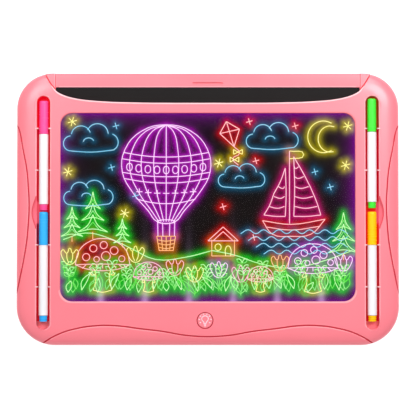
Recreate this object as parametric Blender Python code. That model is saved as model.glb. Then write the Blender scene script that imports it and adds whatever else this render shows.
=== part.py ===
"""LED writing board with four pens, a slide-out backing card, a light button and a fold-out stand.

The board lies on its back. +Z comes out of its face, +Y points to its top edge and +X to its right.
The origin is below the middle of the board, on the surface that the rubber feet rest on. Metres.
"""

import math

import bmesh
import bpy
from mathutils import Matrix, Vector

# Clearances and overruns
FIT = 0.0003
CELL_HEADROOM = 0.0004
CUT_OVERRUN = 0.0010
JOIN_OVERLAP = 0.0008

# Screen opening and the bands of the front face around it
SCREEN_WIDTH = 0.2700
SCREEN_HEIGHT = 0.1720
SCREEN_CORNER = 0.0110
SCREEN_BEVEL = 0.0013
SCREEN_BEVEL_DEPTH = 0.0010
CHIN = 0.0406
ARC_BAND = 0.0098
CARD_SHOW = 0.0139
STRIP_HEIGHT = 0.0127
LAND_WIDTH = 0.0091
FLANK_WIDTH = 0.0187
TOP_CORNER_RADIUS = 0.0325
BOTTOM_CORNER_RADIUS = 0.0353

# Walls of the casing
SIDE_WALL = 0.0020
BEZEL_THICKNESS = 0.0020
FLOOR_THICKNESS = 0.0020
EDGE_REACH = 0.0070
EDGE_DROP = 0.0060
BACK_EDGE_REACH = 0.0030
BACK_EDGE_RISE = 0.0030
BACK_SHELL_HEIGHT = 0.0090
LIP_THICKNESS = 0.0010
LIP_HEIGHT = 0.0020
ARC_WALL = 0.0016

# Layers behind the face
PANEL_THICKNESS = 0.0030
PANEL_SIDE_LAP = 0.0065
PANEL_BOTTOM_LAP = 0.0050
PANEL_TOP_LAP = 0.0035
PANEL_CORNER = 0.0040
CARD_THICKNESS = 0.0008
CARD_SIDE_LAP = 0.0045
CARD_BOTTOM_LAP = 0.0046
CARD_CORNER = 0.0020
TRAY_PLATE = 0.0015
TRAY_RAIL = 0.0033
TRAY_RAIL_STEP = 0.0008
GUIDE_WALL = 0.0026
STRIP_CHAMFER = 0.0012
NAIL_SLOT_WIDTH = 0.0276
NAIL_SLOT_HEIGHT = 0.0024
NAIL_SLOT_DEPTH = 0.0014

# Pen slots
SLOT_SIDE_CLEARANCE = 0.00175
SLOT_FROM_TOP = 0.0212
SLOT_FROM_BOTTOM = 0.0143
SLOT_RIM_BEVEL = 0.0005
TROUGH_WALL = 0.0015
NOTCH_BULGE = 0.0037
NOTCH_LENGTH = 0.0270
NOTCH_DEPTH = 0.0060
RIB_WIDTH = 0.0009
RIB_SHARES = (0.8608, 0.6820, 0.3622, 0.1829)

# Pens
BARREL_DIAMETER = 0.0086
CAP_DIAMETER = 0.0084
PEN_PROUD = 0.0003
PEN_GAP = 0.0017
PEN_TOP_ROOM = 0.0036
PEN_BOTTOM_ROOM = 0.0077
CAP_LENGTH = 0.0306
CAP_WALL = 0.0007
CAP_CROWN = 0.0020
CAP_EDGE = 0.0005
PLUG_LENGTH = 0.0054
PLUG_DIAMETER = 0.0074
PLUG_STEP_LENGTH = 0.0018
PLUG_STEM_LENGTH = 0.0040
BARREL_WALL = 0.0010
NECK_LENGTH = 0.0090
NECK_DIAMETER = 0.0062
NOSE_LENGTH = 0.0050
NOSE_DIAMETER = 0.0042
NIB_DIAMETER = 0.0022
NIB_REACH = 0.0042
NIB_STEM = 0.0120
RESERVOIR_TO_NIB = 0.0006

# Light button and its switch
BUTTON_FROM_CENTER = -0.0025
BUTTON_FROM_BOTTOM = 0.0228
BUTTON_RADIUS = 0.0069
BUTTON_PROUD = 0.0005
BUTTON_EDGE = 0.0006
BUTTON_TRAVEL = 0.0008
FLANGE_LAP = 0.0012
FLANGE_THICKNESS = 0.0013
STEM_RADIUS = 0.0020
PLUNGER_RADIUS = 0.0016
PLUNGER_LENGTH = 0.0030
PLUNGER_SHOW = 0.0012
SWITCH_SIDE = 0.0062
SWITCH_HEIGHT = 0.0035
SWITCH_FLOOR = 0.0006
BOARD_THICKNESS = 0.0012
PCB_LENGTH = 0.0440
PCB_DEPTH = 0.0165
PCB_POST_SPAN = 0.0340
PCB_POST_RADIUS = 0.0025
CHIP_LENGTH = 0.0060
CHIP_DEPTH = 0.0040
CHIP_HEIGHT = 0.0016

# Light strip along the lower edge of the panel
LED_COUNT = 6
LED_PITCH = 0.0403
LED_SHIFT = 0.0030
LED_WIDTH = 0.0030
LED_REACH = 0.0014
LED_HEIGHT = 0.0016
STRIP_BOARD = 0.0010
STRIP_BOARD_HEIGHT = 0.0030
STRIP_END_SHARE = 0.35
LEDGE_WALL = 0.0014
LEDGE_WALL_HEIGHT = 0.0025

# Battery box and its door
CELL_DIAMETER = 0.0105
CELL_LENGTH = 0.0433
CELL_NUB_RADIUS = 0.0019
CELL_NUB_LENGTH = 0.0012
CELL_SPACING = 0.0004
CELL_COUNT = 3
CONTACT_ROOM = 0.0052
CONTACT_PLATE = 0.0006
CONTACT_HEIGHT = 0.0080
SPRING_RADIUS = 0.0028
BOX_WALL = 0.0013
BOX_MARGIN = 0.0007
BOX_CENTER_Y = 0.0320
DOOR_THICKNESS = 0.0018
DOOR_LAP = 0.0012
TAB_WIDTH = 0.0060
TAB_REACH = 0.0022
TAB_THICKNESS = 0.0012
TAB_SPACING = 0.0300
TAB_SLOT_HEIGHT = 0.0036
TONGUE_WIDTH = 0.0130
TONGUE_REACH = 0.0072
DOOR_SCREW_INSET = 0.0036
PAD_RADIUS = 0.0034
PAD_RISE = 0.0012
DOOR_BOSS_RADIUS = 0.0040
DOOR_BOSS_HEIGHT = 0.0055
DOOR_BOSS_HOLE = 0.0024

# Fold-out stand
STAND_WIDTH = 0.0660
STAND_FROM_BOTTOM = 0.0145
STAND_THICKNESS = 0.0028
STAND_SUNK = 0.0002
STAND_CORNER = 0.0100
STAND_PIVOT_Y = -0.0060
STAND_WINDOW_SHARE = 0.52
STAND_WINDOW_START = 0.0200
STAND_WINDOW_END = 0.0260
KNUCKLE_RADIUS = 0.0022
PIN_RADIUS = 0.0010
PIN_HOLD = 0.0032
PIVOT_BLOCK = 0.0042
POCKET_HEADROOM = 0.0005
POCKET_WALL = 0.0015
FINGER_WIDTH = 0.0240
FINGER_REACH = 0.0080

# Feet, case screws and inner ribs
FOOT_PROUD = 0.0015
FOOT_SUNK = 0.0010
FOOT_RADIUS = 0.0060
FOOT_FROM_SIDE = 0.0350
FOOT_FROM_END = 0.0320
SCREW_RADIUS = 0.00125
SCREW_HEAD_RADIUS = 0.0025
SCREW_HEAD_HEIGHT = 0.0018
SCREW_LENGTH = 0.0100
SCREW_SOCKET = 0.0008
BOSS_RADIUS = 0.0036
POST_RADIUS = 0.0030
BOSS_WEB = 0.0040
TOP_SCREW_FROM_SIDE = 0.0225
TOP_SCREW_FROM_END = 0.0150
SIDE_SCREW_FROM_SIDE = 0.0100
BOTTOM_SCREW_FROM_SIDE = 0.0280
BOTTOM_SCREW_FROM_END = 0.0083
MIDDLE_SCREW_SHARE = 0.3429
MIDDLE_SCREW_FROM_END = 0.0123
RIB_THICKNESS = 0.0015
RIB_SPAN_SHARE = 0.68
RIB_PLACE_SHARE = 0.66
WIRE_RADIUS = 0.0006
LEAD_PITCH = 0.0026
LEAD_BEND = 0.0080

# Engraved lines on the face
GROOVE_HALF_WIDTH = 0.0006
GROOVE_DEPTH = 0.0006
SIDE_GROOVE_DIP = 0.0119
BOTTOM_GROOVE_RISE = 0.0183

# Shares of the arc's half width and of its rise, from the middle of the board outwards
ARC_SHARES = (
    (0.0, 0.0), (0.25, 0.001), (0.413, 0.010), (0.659, 0.058), (0.782, 0.126), (0.843, 0.197),
    (0.880, 0.265), (0.917, 0.374), (0.939, 0.500), (0.9624, 0.656), (0.979, 0.803), (1.0, 1.0),
)
# Shares of the board's height and of the groove's dip, from the top down
SIDE_GROOVE_SHARES = (
    (0.330, -0.08), (0.240, 0.46), (0.120, 0.85), (0.005, 1.0), (-0.115, 0.85), (-0.232, 0.39), (-0.315, -0.08),
)
# Shares of the board's half width and of the groove's rise, from the left corner to the middle
BOTTOM_GROOVE_SHARES = (
    (-0.890, -0.02), (-0.811, 0.437), (-0.686, 0.836), (-0.560, 0.990), (-0.435, 0.940), (-0.310, 0.787),
    (-0.184, 0.590), (-0.090, 0.470), (0.0, 0.437),
)

# Facets
CORNER_STEPS = 8
SMALL_CORNER_STEPS = 5
EDGE_STEPS = 4
CURVE_STEPS = 2
SLOT_END_STEPS = 8
NOTCH_STEPS = 8
BUTTON_SIDES = 24
PEN_SIDES = 16
POST_SIDES = 12
CELL_SIDES = 16

# Places worked out from the sizes, outwards from the middle of the screen
SLOT_HALF = BARREL_DIAMETER / 2 + SLOT_SIDE_CLEARANCE
CARD_HALF = SCREEN_WIDTH / 2 + CARD_SIDE_LAP
CHANNEL_HALF = CARD_HALF + FIT
TRAY_HALF = CHANNEL_HALF + GUIDE_WALL
PANEL_HALF = SCREEN_WIDTH / 2 + PANEL_SIDE_LAP
SLOT_X = TRAY_HALF + FIT + TROUGH_WALL + SLOT_HALF
BOARD_HALF_WIDTH = SLOT_X + SLOT_HALF + FLANK_WIDTH
BOARD_HEIGHT = CHIN + SCREEN_HEIGHT + ARC_BAND + CARD_SHOW + STRIP_HEIGHT
TOP_Y = BOARD_HEIGHT / 2
SCREEN_LOW_Y = CHIN - TOP_Y
SCREEN_HIGH_Y = SCREEN_LOW_Y + SCREEN_HEIGHT
SCREEN_MID_Y = SCREEN_LOW_Y + SCREEN_HEIGHT / 2
ARC_Y = SCREEN_HIGH_Y + ARC_BAND
CARD_HIGH_Y = ARC_Y + CARD_SHOW
CARD_LOW_Y = SCREEN_LOW_Y - CARD_BOTTOM_LAP
PANEL_LOW_Y = SCREEN_LOW_Y - PANEL_BOTTOM_LAP
PANEL_HIGH_Y = SCREEN_HIGH_Y + PANEL_TOP_LAP
ARC_HALF = CHANNEL_HALF + LAND_WIDTH
ARC_RISE = CARD_SHOW + STRIP_HEIGHT
SLOT_HIGH_Y = TOP_Y - SLOT_FROM_TOP
SLOT_LOW_Y = SLOT_FROM_BOTTOM - TOP_Y
SLOT_LENGTH = SLOT_HIGH_Y - SLOT_LOW_Y
PEN_LENGTH = (SLOT_LENGTH - PEN_GAP - PEN_TOP_ROOM - PEN_BOTTOM_ROOM) / 2
NOTCH_Y = SLOT_HIGH_Y - PEN_TOP_ROOM - PEN_LENGTH - PEN_GAP / 2
BARREL_LENGTH = PEN_LENGTH - CAP_LENGTH - PLUG_LENGTH
LED_FACE_Y = PANEL_LOW_Y - FIT
STRIP_FRONT_Y = LED_FACE_Y - LED_REACH
STRIP_BACK_Y = STRIP_FRONT_Y - STRIP_BOARD
LEDGE_FRONT_Y = STRIP_BACK_Y - FIT
TRAY_LOW_Y = LEDGE_FRONT_Y - LEDGE_WALL
STAND_END_Y = STAND_FROM_BOTTOM - TOP_Y
STAND_LENGTH = STAND_PIVOT_Y - STAND_END_Y
BUTTON_X = BUTTON_FROM_CENTER
BUTTON_Y = BUTTON_FROM_BOTTOM - TOP_Y

# Heights worked out from the sizes, from the surface below the feet up to the face
BACK_Z = FOOT_PROUD
FLOOR_Z = BACK_Z + FLOOR_THICKNESS
SPLIT_Z = BACK_Z + BACK_SHELL_HEIGHT
DOOR_TOP_Z = BACK_Z + DOOR_THICKNESS
CELL_LOW_Z = DOOR_TOP_Z + FIT
TRAY_LOW_Z = CELL_LOW_Z + CELL_DIAMETER + CELL_HEADROOM
TRAY_FLOOR_Z = TRAY_LOW_Z + TRAY_PLATE
RAIL_Z = TRAY_FLOOR_Z + TRAY_RAIL_STEP
CARD_LOW_Z = RAIL_Z + FIT
GUIDE_Z = CARD_LOW_Z + CARD_THICKNESS
PANEL_LOW_Z = GUIDE_Z + FIT
PANEL_HIGH_Z = PANEL_LOW_Z + PANEL_THICKNESS
BEZEL_LOW_Z = PANEL_HIGH_Z + FIT
FRONT_Z = BEZEL_LOW_Z + BEZEL_THICKNESS
PEN_Z = FRONT_Z + PEN_PROUD - BARREL_DIAMETER / 2
SLOT_FLOOR_Z = PEN_Z - BARREL_DIAMETER / 2 - FIT
FRONT_LOW_Z = SPLIT_Z + FIT

CASE_SCREWS = {
    "case_screw_top": (BOARD_HALF_WIDTH - TOP_SCREW_FROM_SIDE, TOP_Y - TOP_SCREW_FROM_END),
    "case_screw_side": (BOARD_HALF_WIDTH - SIDE_SCREW_FROM_SIDE, 0),
    "case_screw_bottom": (BOARD_HALF_WIDTH - BOTTOM_SCREW_FROM_SIDE, BOTTOM_SCREW_FROM_END - TOP_Y),
    "case_screw_middle": (BOARD_HALF_WIDTH * MIDDLE_SCREW_SHARE, MIDDLE_SCREW_FROM_END - TOP_Y),
}
SIDES = {"left": -1, "right": 1}
PENS = {
    "pen_pink": ("left", "upper"),
    "pen_green": ("right", "upper"),
    "pen_blue": ("left", "lower"),
    "pen_yellow": ("right", "lower"),
}
PEN_COLORS = {
    "pen_pink": (1.0, 0.14, 0.42),
    "pen_green": (0.10, 0.90, 0.08),
    "pen_blue": (0.07, 0.52, 1.0),
    "pen_yellow": (1.0, 0.66, 0.01),
}


# Materials


def finish(name, color, roughness, metallic=0.0, alpha=1.0):
    """A Principled material, made once for each name."""
    material = bpy.data.materials.get(name)
    if material:
        return material
    material = bpy.data.materials.new(name)
    material.use_nodes = True
    shader = material.node_tree.nodes["Principled BSDF"]
    shader.inputs["Base Color"].default_value = (*color, 1.0)
    shader.inputs["Roughness"].default_value = roughness
    shader.inputs["Metallic"].default_value = metallic
    shader.inputs["Alpha"].default_value = alpha
    material.diffuse_color = (*color, alpha)
    return material


def shell_pink():
    return finish("shell_pink", (1.0, 0.33, 0.40), 0.38)


def card_black():
    return finish("card_black", (0.024, 0.021, 0.020), 0.65)


def clear_acrylic():
    return finish("clear_acrylic", (0.92, 0.94, 0.98), 0.04, alpha=0.25)


def circuit_green():
    return finish("circuit_green", (0.02, 0.18, 0.06), 0.45)


def steel():
    return finish("steel", (0.62, 0.62, 0.64), 0.30, metallic=1.0)


def dark_plastic():
    return finish("dark_plastic", (0.03, 0.03, 0.035), 0.45)


def foot_rubber():
    return finish("foot_rubber", (0.55, 0.42, 0.44), 0.85)


def cell_wrap():
    return finish("cell_wrap", (0.10, 0.11, 0.13), 0.35)


def barrel_white():
    return finish("barrel_white", (0.93, 0.92, 0.94), 0.25)


def nib_felt():
    return finish("nib_felt", (0.86, 0.86, 0.84), 0.95)


def wire_jacket(name, color):
    return finish(name, color, 0.5)


def pen_plastic(pen):
    return finish(pen + "_plastic", PEN_COLORS[pen], 0.30)


# Shapes in plan


def arc_points(center, radius, start, turn, steps):
    """Points on an arc, both ends included. Angles are in degrees."""
    points = []
    for step in range(steps + 1):
        angle = math.radians(start + turn * step / steps)
        points.append((center[0] + radius * math.cos(angle), center[1] + radius * math.sin(angle)))
    return points


def outline(inset):
    """The board's outline, drawn in by a distance, anticlockwise from the lower right corner."""
    low = (BOARD_HALF_WIDTH - BOTTOM_CORNER_RADIUS, BOTTOM_CORNER_RADIUS - TOP_Y)
    high = (BOARD_HALF_WIDTH - TOP_CORNER_RADIUS, TOP_Y - TOP_CORNER_RADIUS)
    low_radius = BOTTOM_CORNER_RADIUS - inset
    high_radius = TOP_CORNER_RADIUS - inset
    return (
        arc_points(low, low_radius, -90, 90, CORNER_STEPS)
        + arc_points(high, high_radius, 0, 90, CORNER_STEPS)
        + arc_points((-high[0], high[1]), high_radius, 90, 90, CORNER_STEPS)
        + arc_points((-low[0], low[1]), low_radius, 180, 90, CORNER_STEPS)
    )


def edge_inset(x, y):
    """How far a point in plan lies inside the board's outline."""
    radius = TOP_CORNER_RADIUS if y > 0 else BOTTOM_CORNER_RADIUS
    across = abs(x) - (BOARD_HALF_WIDTH - radius)
    along = abs(y) - (TOP_Y - radius)
    return radius - math.hypot(max(across, 0), max(along, 0)) - min(max(across, along), 0)


def face_height(x, y):
    """The height of the front face at a point in plan, with its rounded outer edge."""
    short = 1 - min(max(edge_inset(x, y), 0) / EDGE_REACH, 1)
    return FRONT_Z - EDGE_DROP * (1 - math.sqrt(1 - short * short))


def rectangle(low, high):
    return [(low[0], low[1]), (high[0], low[1]), (high[0], high[1]), (low[0], high[1])]


def rounded(center, half, radius, steps=SMALL_CORNER_STEPS):
    """A rectangle with round corners, anticlockwise."""
    x, y = half[0] - radius, half[1] - radius
    return (
        arc_points((center[0] + x, center[1] - y), radius, -90, 90, steps)
        + arc_points((center[0] + x, center[1] + y), radius, 0, 90, steps)
        + arc_points((center[0] - x, center[1] + y), radius, 90, 90, steps)
        + arc_points((center[0] - x, center[1] - y), radius, 180, 90, steps)
    )


def circle(center, radius, sides):
    return arc_points(center, radius, 0, 360, sides)[:-1]


def smooth_through(points, steps=CURVE_STEPS):
    """A Catmull-Rom curve through points of any dimension, both ends included."""
    points = [Vector(point) for point in points]
    ends = [points[0] * 2 - points[1]] + points + [points[-1] * 2 - points[-2]]
    curve = []
    for before, start, end, after in zip(ends, ends[1:], ends[2:], ends[3:]):
        for step in range(steps):
            t = step / steps
            pull = (end - before) * t + (before * 2 - start * 5 + end * 4 - after) * t * t
            pull += (start * 3 - before - end * 3 + after) * t * t * t
            curve.append(start + pull / 2)
    curve.append(points[-1])
    return [tuple(point) for point in curve]


def arc_curve():
    """The smile-shaped cut of the front shell, from its right end to its left end."""
    half = [(across * ARC_HALF, ARC_Y + up * ARC_RISE) for across, up in ARC_SHARES]
    right = smooth_through(half)
    left = [(-x, y) for x, y in right[1:]]
    return right[::-1] + left


def lowered(curve, distance):
    """A plan curve moved towards -Y and, near its steep ends, away from the middle of the board."""
    moved = []
    for index, (x, y) in enumerate(curve):
        before = curve[max(index - 1, 0)]
        after = curve[min(index + 1, len(curve) - 1)]
        along = Vector((after[0] - before[0], after[1] - before[1])).normalized()
        moved.append((x - along[1] * distance, y + along[0] * distance))
    return moved


def slot_plan(side, grow=0.0, ribs=False):
    """A pen slot's round-ended plan, grown by a distance. Ribs leave a tongue of wall on both sides."""
    half = SLOT_HALF + grow
    x = side * SLOT_X
    top = arc_points((x, SLOT_HIGH_Y - SLOT_HALF), half, 0, 180, SLOT_END_STEPS)
    bottom = arc_points((x, SLOT_LOW_Y + SLOT_HALF), half, 180, 180, SLOT_END_STEPS)
    if not ribs:
        return top + bottom
    reach = BARREL_DIAMETER / 2 + FIT
    left, right = [], []
    for share in RIB_SHARES:
        y = SLOT_LOW_Y + share * SLOT_LENGTH
        high, low = y + RIB_WIDTH / 2, y - RIB_WIDTH / 2
        left += [(x - half, high), (x - reach, high), (x - reach, low), (x - half, low)]
        right += [(x + half, high), (x + reach, high), (x + reach, low), (x + half, low)]
    return top + left + bottom + right[::-1]


def notch_plan(side, grow=0.0):
    """The finger notch beside a slot: a smooth bulge on the slot's outer side."""
    middle = side * SLOT_X
    edge = middle + side * (SLOT_HALF + grow)
    half = NOTCH_LENGTH / 2 + grow
    bulge = []
    for step in range(NOTCH_STEPS + 1):
        across = math.cos(math.pi * (step / NOTCH_STEPS - 1 / 2))
        bulge.append((edge + side * NOTCH_BULGE * across * across, NOTCH_Y - half + 2 * half * step / NOTCH_STEPS))
    points = bulge + [(middle, NOTCH_Y + half), (middle, NOTCH_Y - half)]
    return points if side > 0 else points[::-1]


# Solids


def add_mesh(name, vertices, faces, material=None):
    """A mesh object with its normals turned outwards."""
    shape = bmesh.new()
    made = [shape.verts.new(vertex) for vertex in vertices]
    for face in faces:
        shape.faces.new([made[index] for index in face])
    bmesh.ops.recalc_face_normals(shape, faces=shape.faces)
    mesh = bpy.data.meshes.new(name)
    shape.to_mesh(mesh)
    shape.free()
    obj = bpy.data.objects.new(name, mesh)
    bpy.context.scene.collection.objects.link(obj)
    if material:
        mesh.materials.append(material)
    return obj


def loft(name, rings, material=None):
    """A closed solid through rings of equally many points. Each ring is (points in plan, height)."""
    count = len(rings[0][0])
    vertices = [(x, y, z) for points, z in rings for x, y in points]
    faces = [list(range(count))[::-1], [len(vertices) - count + index for index in range(count)]]
    for ring in range(len(rings) - 1):
        for index in range(count):
            after = (index + 1) % count
            low, high = ring * count, (ring + 1) * count
            faces.append([low + index, low + after, high + after, high + index])
    return add_mesh(name, vertices, faces, material)


def prism(name, points, low, high, material=None):
    return loft(name, [(points, low), (points, high)], material)


def block(name, low, high, material=None):
    return prism(name, rectangle(low[:2], high[:2]), low[2], high[2], material)


def across_x(name, profile, half_length, material=None):
    """A profile of (y, z) points, drawn out along X on both sides of the middle."""
    count = len(profile)
    vertices = [(x, y, z) for x in (-half_length, half_length) for y, z in profile]
    faces = [list(range(count)), list(range(count, 2 * count))[::-1]]
    for index in range(count):
        after = (index + 1) % count
        faces.append([index, after, count + after, count + index])
    return add_mesh(name, vertices, faces, material)


def turned(name, profile, sides, place, material=None):
    """A solid of revolution about the local Z axis. Profile points are (radius, height), from below upwards.

    A profile whose ends lie off the axis is closed on itself, as a tube is.
    """
    vertices, rings = [], []
    for radius, height in profile:
        if radius == 0:
            rings.append([len(vertices)] * sides)
            vertices.append(place @ Vector((0, 0, height)))
            continue
        rings.append(list(range(len(vertices), len(vertices) + sides)))
        for x, y in circle((0, 0), radius, sides):
            vertices.append(place @ Vector((x, y, height)))
    pairs = list(zip(rings, rings[1:]))
    if profile[0][0] and profile[-1][0]:
        pairs.append((rings[-1], rings[0]))
    faces = []
    for low, high in pairs:
        for index in range(sides):
            after = (index + 1) % sides
            corners = dict.fromkeys([low[index], low[after], high[after], high[index]])
            faces.append(list(corners))
    obj = add_mesh(name, vertices, faces, material)
    obj.data.shade_smooth()
    obj.data.set_sharp_from_angle(angle=math.radians(40))
    return obj


def upright(x, y, z=0.0):
    return Matrix.Translation((x, y, z))


def along_y(x, y, z):
    """A placement whose local Z axis runs along -Y, from a point."""
    return Matrix.Translation((x, y, z)) @ Matrix.Rotation(math.radians(90), 4, "X")


def along_x(x, y, z):
    return Matrix.Translation((x, y, z)) @ Matrix.Rotation(math.radians(90), 4, "Y")


def peg(name, center, radius, low, high, sides=POST_SIDES):
    return prism(name, circle(center, radius, sides), low, high)


def engraver(name, route):
    """A cutter with a V section that follows a route on the front face."""
    rings = []
    for index, (x, y) in enumerate(route):
        before = route[max(index - 1, 0)]
        after = route[min(index + 1, len(route) - 1)]
        along = Vector((after[0] - before[0], after[1] - before[1])).normalized()
        sideways = Vector((-along[1], along[0])) * GROOVE_HALF_WIDTH
        left, right = (x + sideways[0], y + sideways[1]), (x - sideways[0], y - sideways[1])
        height = face_height(x, y)
        rings.append(
            [
                (*left, face_height(*left) + GROOVE_DEPTH / 2),
                (x, y, height - GROOVE_DEPTH),
                (*right, face_height(*right) + GROOVE_DEPTH / 2),
                (x, y, height + CUT_OVERRUN),
            ]
        )
    count = len(rings[0])
    vertices = [vertex for ring in rings for vertex in ring]
    faces = [list(range(count)), list(range(len(vertices) - count, len(vertices)))[::-1]]
    for ring in range(len(rings) - 1):
        for index in range(count):
            after = (index + 1) % count
            low, high = ring * count, (ring + 1) * count
            faces.append([low + index, low + after, high + after, high + index])
    return add_mesh(name, vertices, faces)


def combine(target, tools, operation):
    """One Boolean of a piece with a group of helper solids, which are left out of the object itself."""
    group = bpy.data.collections.new(f"{target.name}_{operation.lower()}")
    bpy.context.scene.collection.children.link(group)
    for tool in tools:
        group.objects.link(tool)
        bpy.context.scene.collection.objects.unlink(tool)
        tool.hide_render = True
        tool.display_type = "WIRE"
    modifier = target.modifiers.new(operation.title(), "BOOLEAN")
    modifier.operation = operation
    modifier.operand_type = "COLLECTION"
    modifier.collection = group
    modifier.solver = "EXACT"
    modifier.use_self = operation == "UNION"


def pivot(name, place):
    """An empty on a joint's axis, which the moving pieces are parented to."""
    empty = bpy.data.objects.new(name, None)
    empty.location = place
    empty.empty_display_size = BUTTON_RADIUS
    bpy.context.scene.collection.objects.link(empty)
    return empty


def hang(empty, *pieces):
    """Parents pieces to an empty and leaves them where they are."""
    for piece in pieces:
        piece.parent = empty
        piece.matrix_parent_inverse = Matrix.Translation(-empty.location)


# Casing


def screw_places():
    """Every case screw's name and place in plan."""
    for name, (x, y) in CASE_SCREWS.items():
        for side, sign in SIDES.items():
            yield f"{name}_{side}", (sign * x, y)


def pcb_post_places():
    for side, sign in SIDES.items():
        yield side, (BUTTON_X + sign * PCB_POST_SPAN / 2, BUTTON_Y)


def edge_rings(inset, low, high, reach, drop):
    """Rings from a low height up to a rounded edge at a high one."""
    rings = [(outline(inset), low)]
    for step in range(EDGE_STEPS + 1):
        angle = math.pi / 2 * step / EDGE_STEPS
        rings.append((outline(inset + reach * (1 - math.cos(angle))), high - drop * (1 - math.sin(angle))))
    return rings


def front_shell():
    """The front of the case: bezel, pen troughs, screw posts and the wall along the arc."""
    shell = loft("front_shell", edge_rings(0, FRONT_LOW_Z, FRONT_Z, EDGE_REACH, EDGE_DROP), shell_pink())
    inner_drop = EDGE_DROP - BEZEL_THICKNESS
    cavity = edge_rings(SIDE_WALL, FRONT_LOW_Z - CUT_OVERRUN, BEZEL_LOW_Z, EDGE_REACH, inner_drop)
    combine(shell, [loft("front_cavity", cavity)], "DIFFERENCE")

    bond_z = BEZEL_LOW_Z + JOIN_OVERLAP
    added = []
    for side, sign in SIDES.items():
        trough_low = SLOT_FLOOR_Z - TROUGH_WALL
        notch_low = FRONT_Z - NOTCH_DEPTH - TROUGH_WALL
        added.append(prism(f"trough_{side}", slot_plan(sign, TROUGH_WALL), trough_low, bond_z))
        added.append(prism(f"notch_wall_{side}", notch_plan(sign, TROUGH_WALL), notch_low, bond_z))
    for name, place in screw_places():
        added.append(peg(f"{name}_post", place, POST_RADIUS, SPLIT_Z + FIT, bond_z))
    for side, place in pcb_post_places():
        low = pcb_top() + FIT
        added.append(peg(f"pcb_post_{side}", place, PCB_POST_RADIUS, low, bond_z))
    curve = arc_curve()
    wall = lowered(curve, ARC_WALL) + lowered(curve, -CUT_OVERRUN)[::-1]
    wall_low = GUIDE_Z + FIT
    added.append(prism("arc_wall", wall, wall_low, bond_z))
    combine(shell, added, "UNION")

    face_top = FRONT_Z + CUT_OVERRUN
    half = (SCREEN_WIDTH / 2, SCREEN_HEIGHT / 2)
    middle = (0, SCREEN_MID_Y)
    flare = SCREEN_BEVEL * (1 + CUT_OVERRUN / SCREEN_BEVEL_DEPTH)
    wide = (half[0] + flare, half[1] + flare)
    removed = [
        loft(
            "screen_cut",
            [
                (rounded(middle, half, SCREEN_CORNER), BEZEL_LOW_Z - CUT_OVERRUN),
                (rounded(middle, half, SCREEN_CORNER), FRONT_Z - SCREEN_BEVEL_DEPTH),
                (rounded(middle, wide, SCREEN_CORNER + flare), face_top),
            ],
        )
    ]
    for side, sign in SIDES.items():
        removed.append(prism(f"slot_cut_{side}", slot_plan(sign, ribs=True), SLOT_FLOOR_Z, face_top))
        removed.append(prism(f"notch_cut_{side}", notch_plan(sign), FRONT_Z - NOTCH_DEPTH, face_top))
    for name, place in screw_places():
        tip = screw_low() + SCREW_HEAD_HEIGHT + SCREW_LENGTH + CUT_OVERRUN
        removed.append(peg(f"{name}_pilot", place, SCREW_RADIUS + FIT, SPLIT_Z, tip))
    for side, place in pcb_post_places():
        low = pcb_top()
        tip = low + SCREW_LENGTH / 2
        removed.append(peg(f"pcb_pilot_{side}", place, SCREW_RADIUS + FIT, low, tip))
    hole = BUTTON_RADIUS + FIT
    removed.append(
        peg("button_hole", (BUTTON_X, BUTTON_Y), hole, BEZEL_LOW_Z - CUT_OVERRUN, face_top, BUTTON_SIDES)
    )
    past = TOP_Y + CUT_OVERRUN
    over = curve[0][0] + CUT_OVERRUN
    region = [(over, past)] + [(-over, past)] + curve[::-1]
    removed.append(prism("arc_cut", region, SPLIT_Z, face_top))
    for side, sign in SIDES.items():
        points = [
            (sign * (BOARD_HALF_WIDTH - dip * SIDE_GROOVE_DIP), up * BOARD_HEIGHT)
            for up, dip in SIDE_GROOVE_SHARES
        ]
        removed.append(engraver(f"side_groove_{side}", smooth_through(points, CURVE_STEPS + 1)))
    wave = [(across * BOARD_HALF_WIDTH, up * BOTTOM_GROOVE_RISE - TOP_Y) for across, up in BOTTOM_GROOVE_SHARES]
    wave += [(-x, y) for x, y in wave[-2::-1]]
    removed.append(engraver("bottom_groove", smooth_through(wave)))
    combine(shell, removed, "DIFFERENCE")
    return shell


def stand_axis_z():
    return BACK_Z + STAND_SUNK + KNUCKLE_RADIUS


def pocket_top():
    return BACK_Z + STAND_SUNK + STAND_THICKNESS + POCKET_HEADROOM


def door_plan():
    """Half sizes of the battery door's plate."""
    return (box_half()[0] + DOOR_LAP, box_half()[1] + DOOR_LAP)


def box_half():
    """Half sizes of the inside of the battery box."""
    stack = CELL_COUNT * CELL_DIAMETER + (CELL_COUNT - 1) * CELL_SPACING
    return (CELL_LENGTH / 2 + CONTACT_ROOM, stack / 2 + BOX_MARGIN)


def door_screw_y():
    return BOX_CENTER_Y - door_plan()[1] - DOOR_SCREW_INSET


def screw_low():
    """The underside of a case screw's head."""
    return BACK_Z + BOSS_WEB - SCREW_HEAD_HEIGHT


def foot_places():
    for side, sign in SIDES.items():
        x = sign * (BOARD_HALF_WIDTH - FOOT_FROM_SIDE)
        yield f"rubber_foot_top_{side}", (x, TOP_Y - FOOT_FROM_END)
        yield f"rubber_foot_bottom_{side}", (x, FOOT_FROM_END - TOP_Y)


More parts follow.
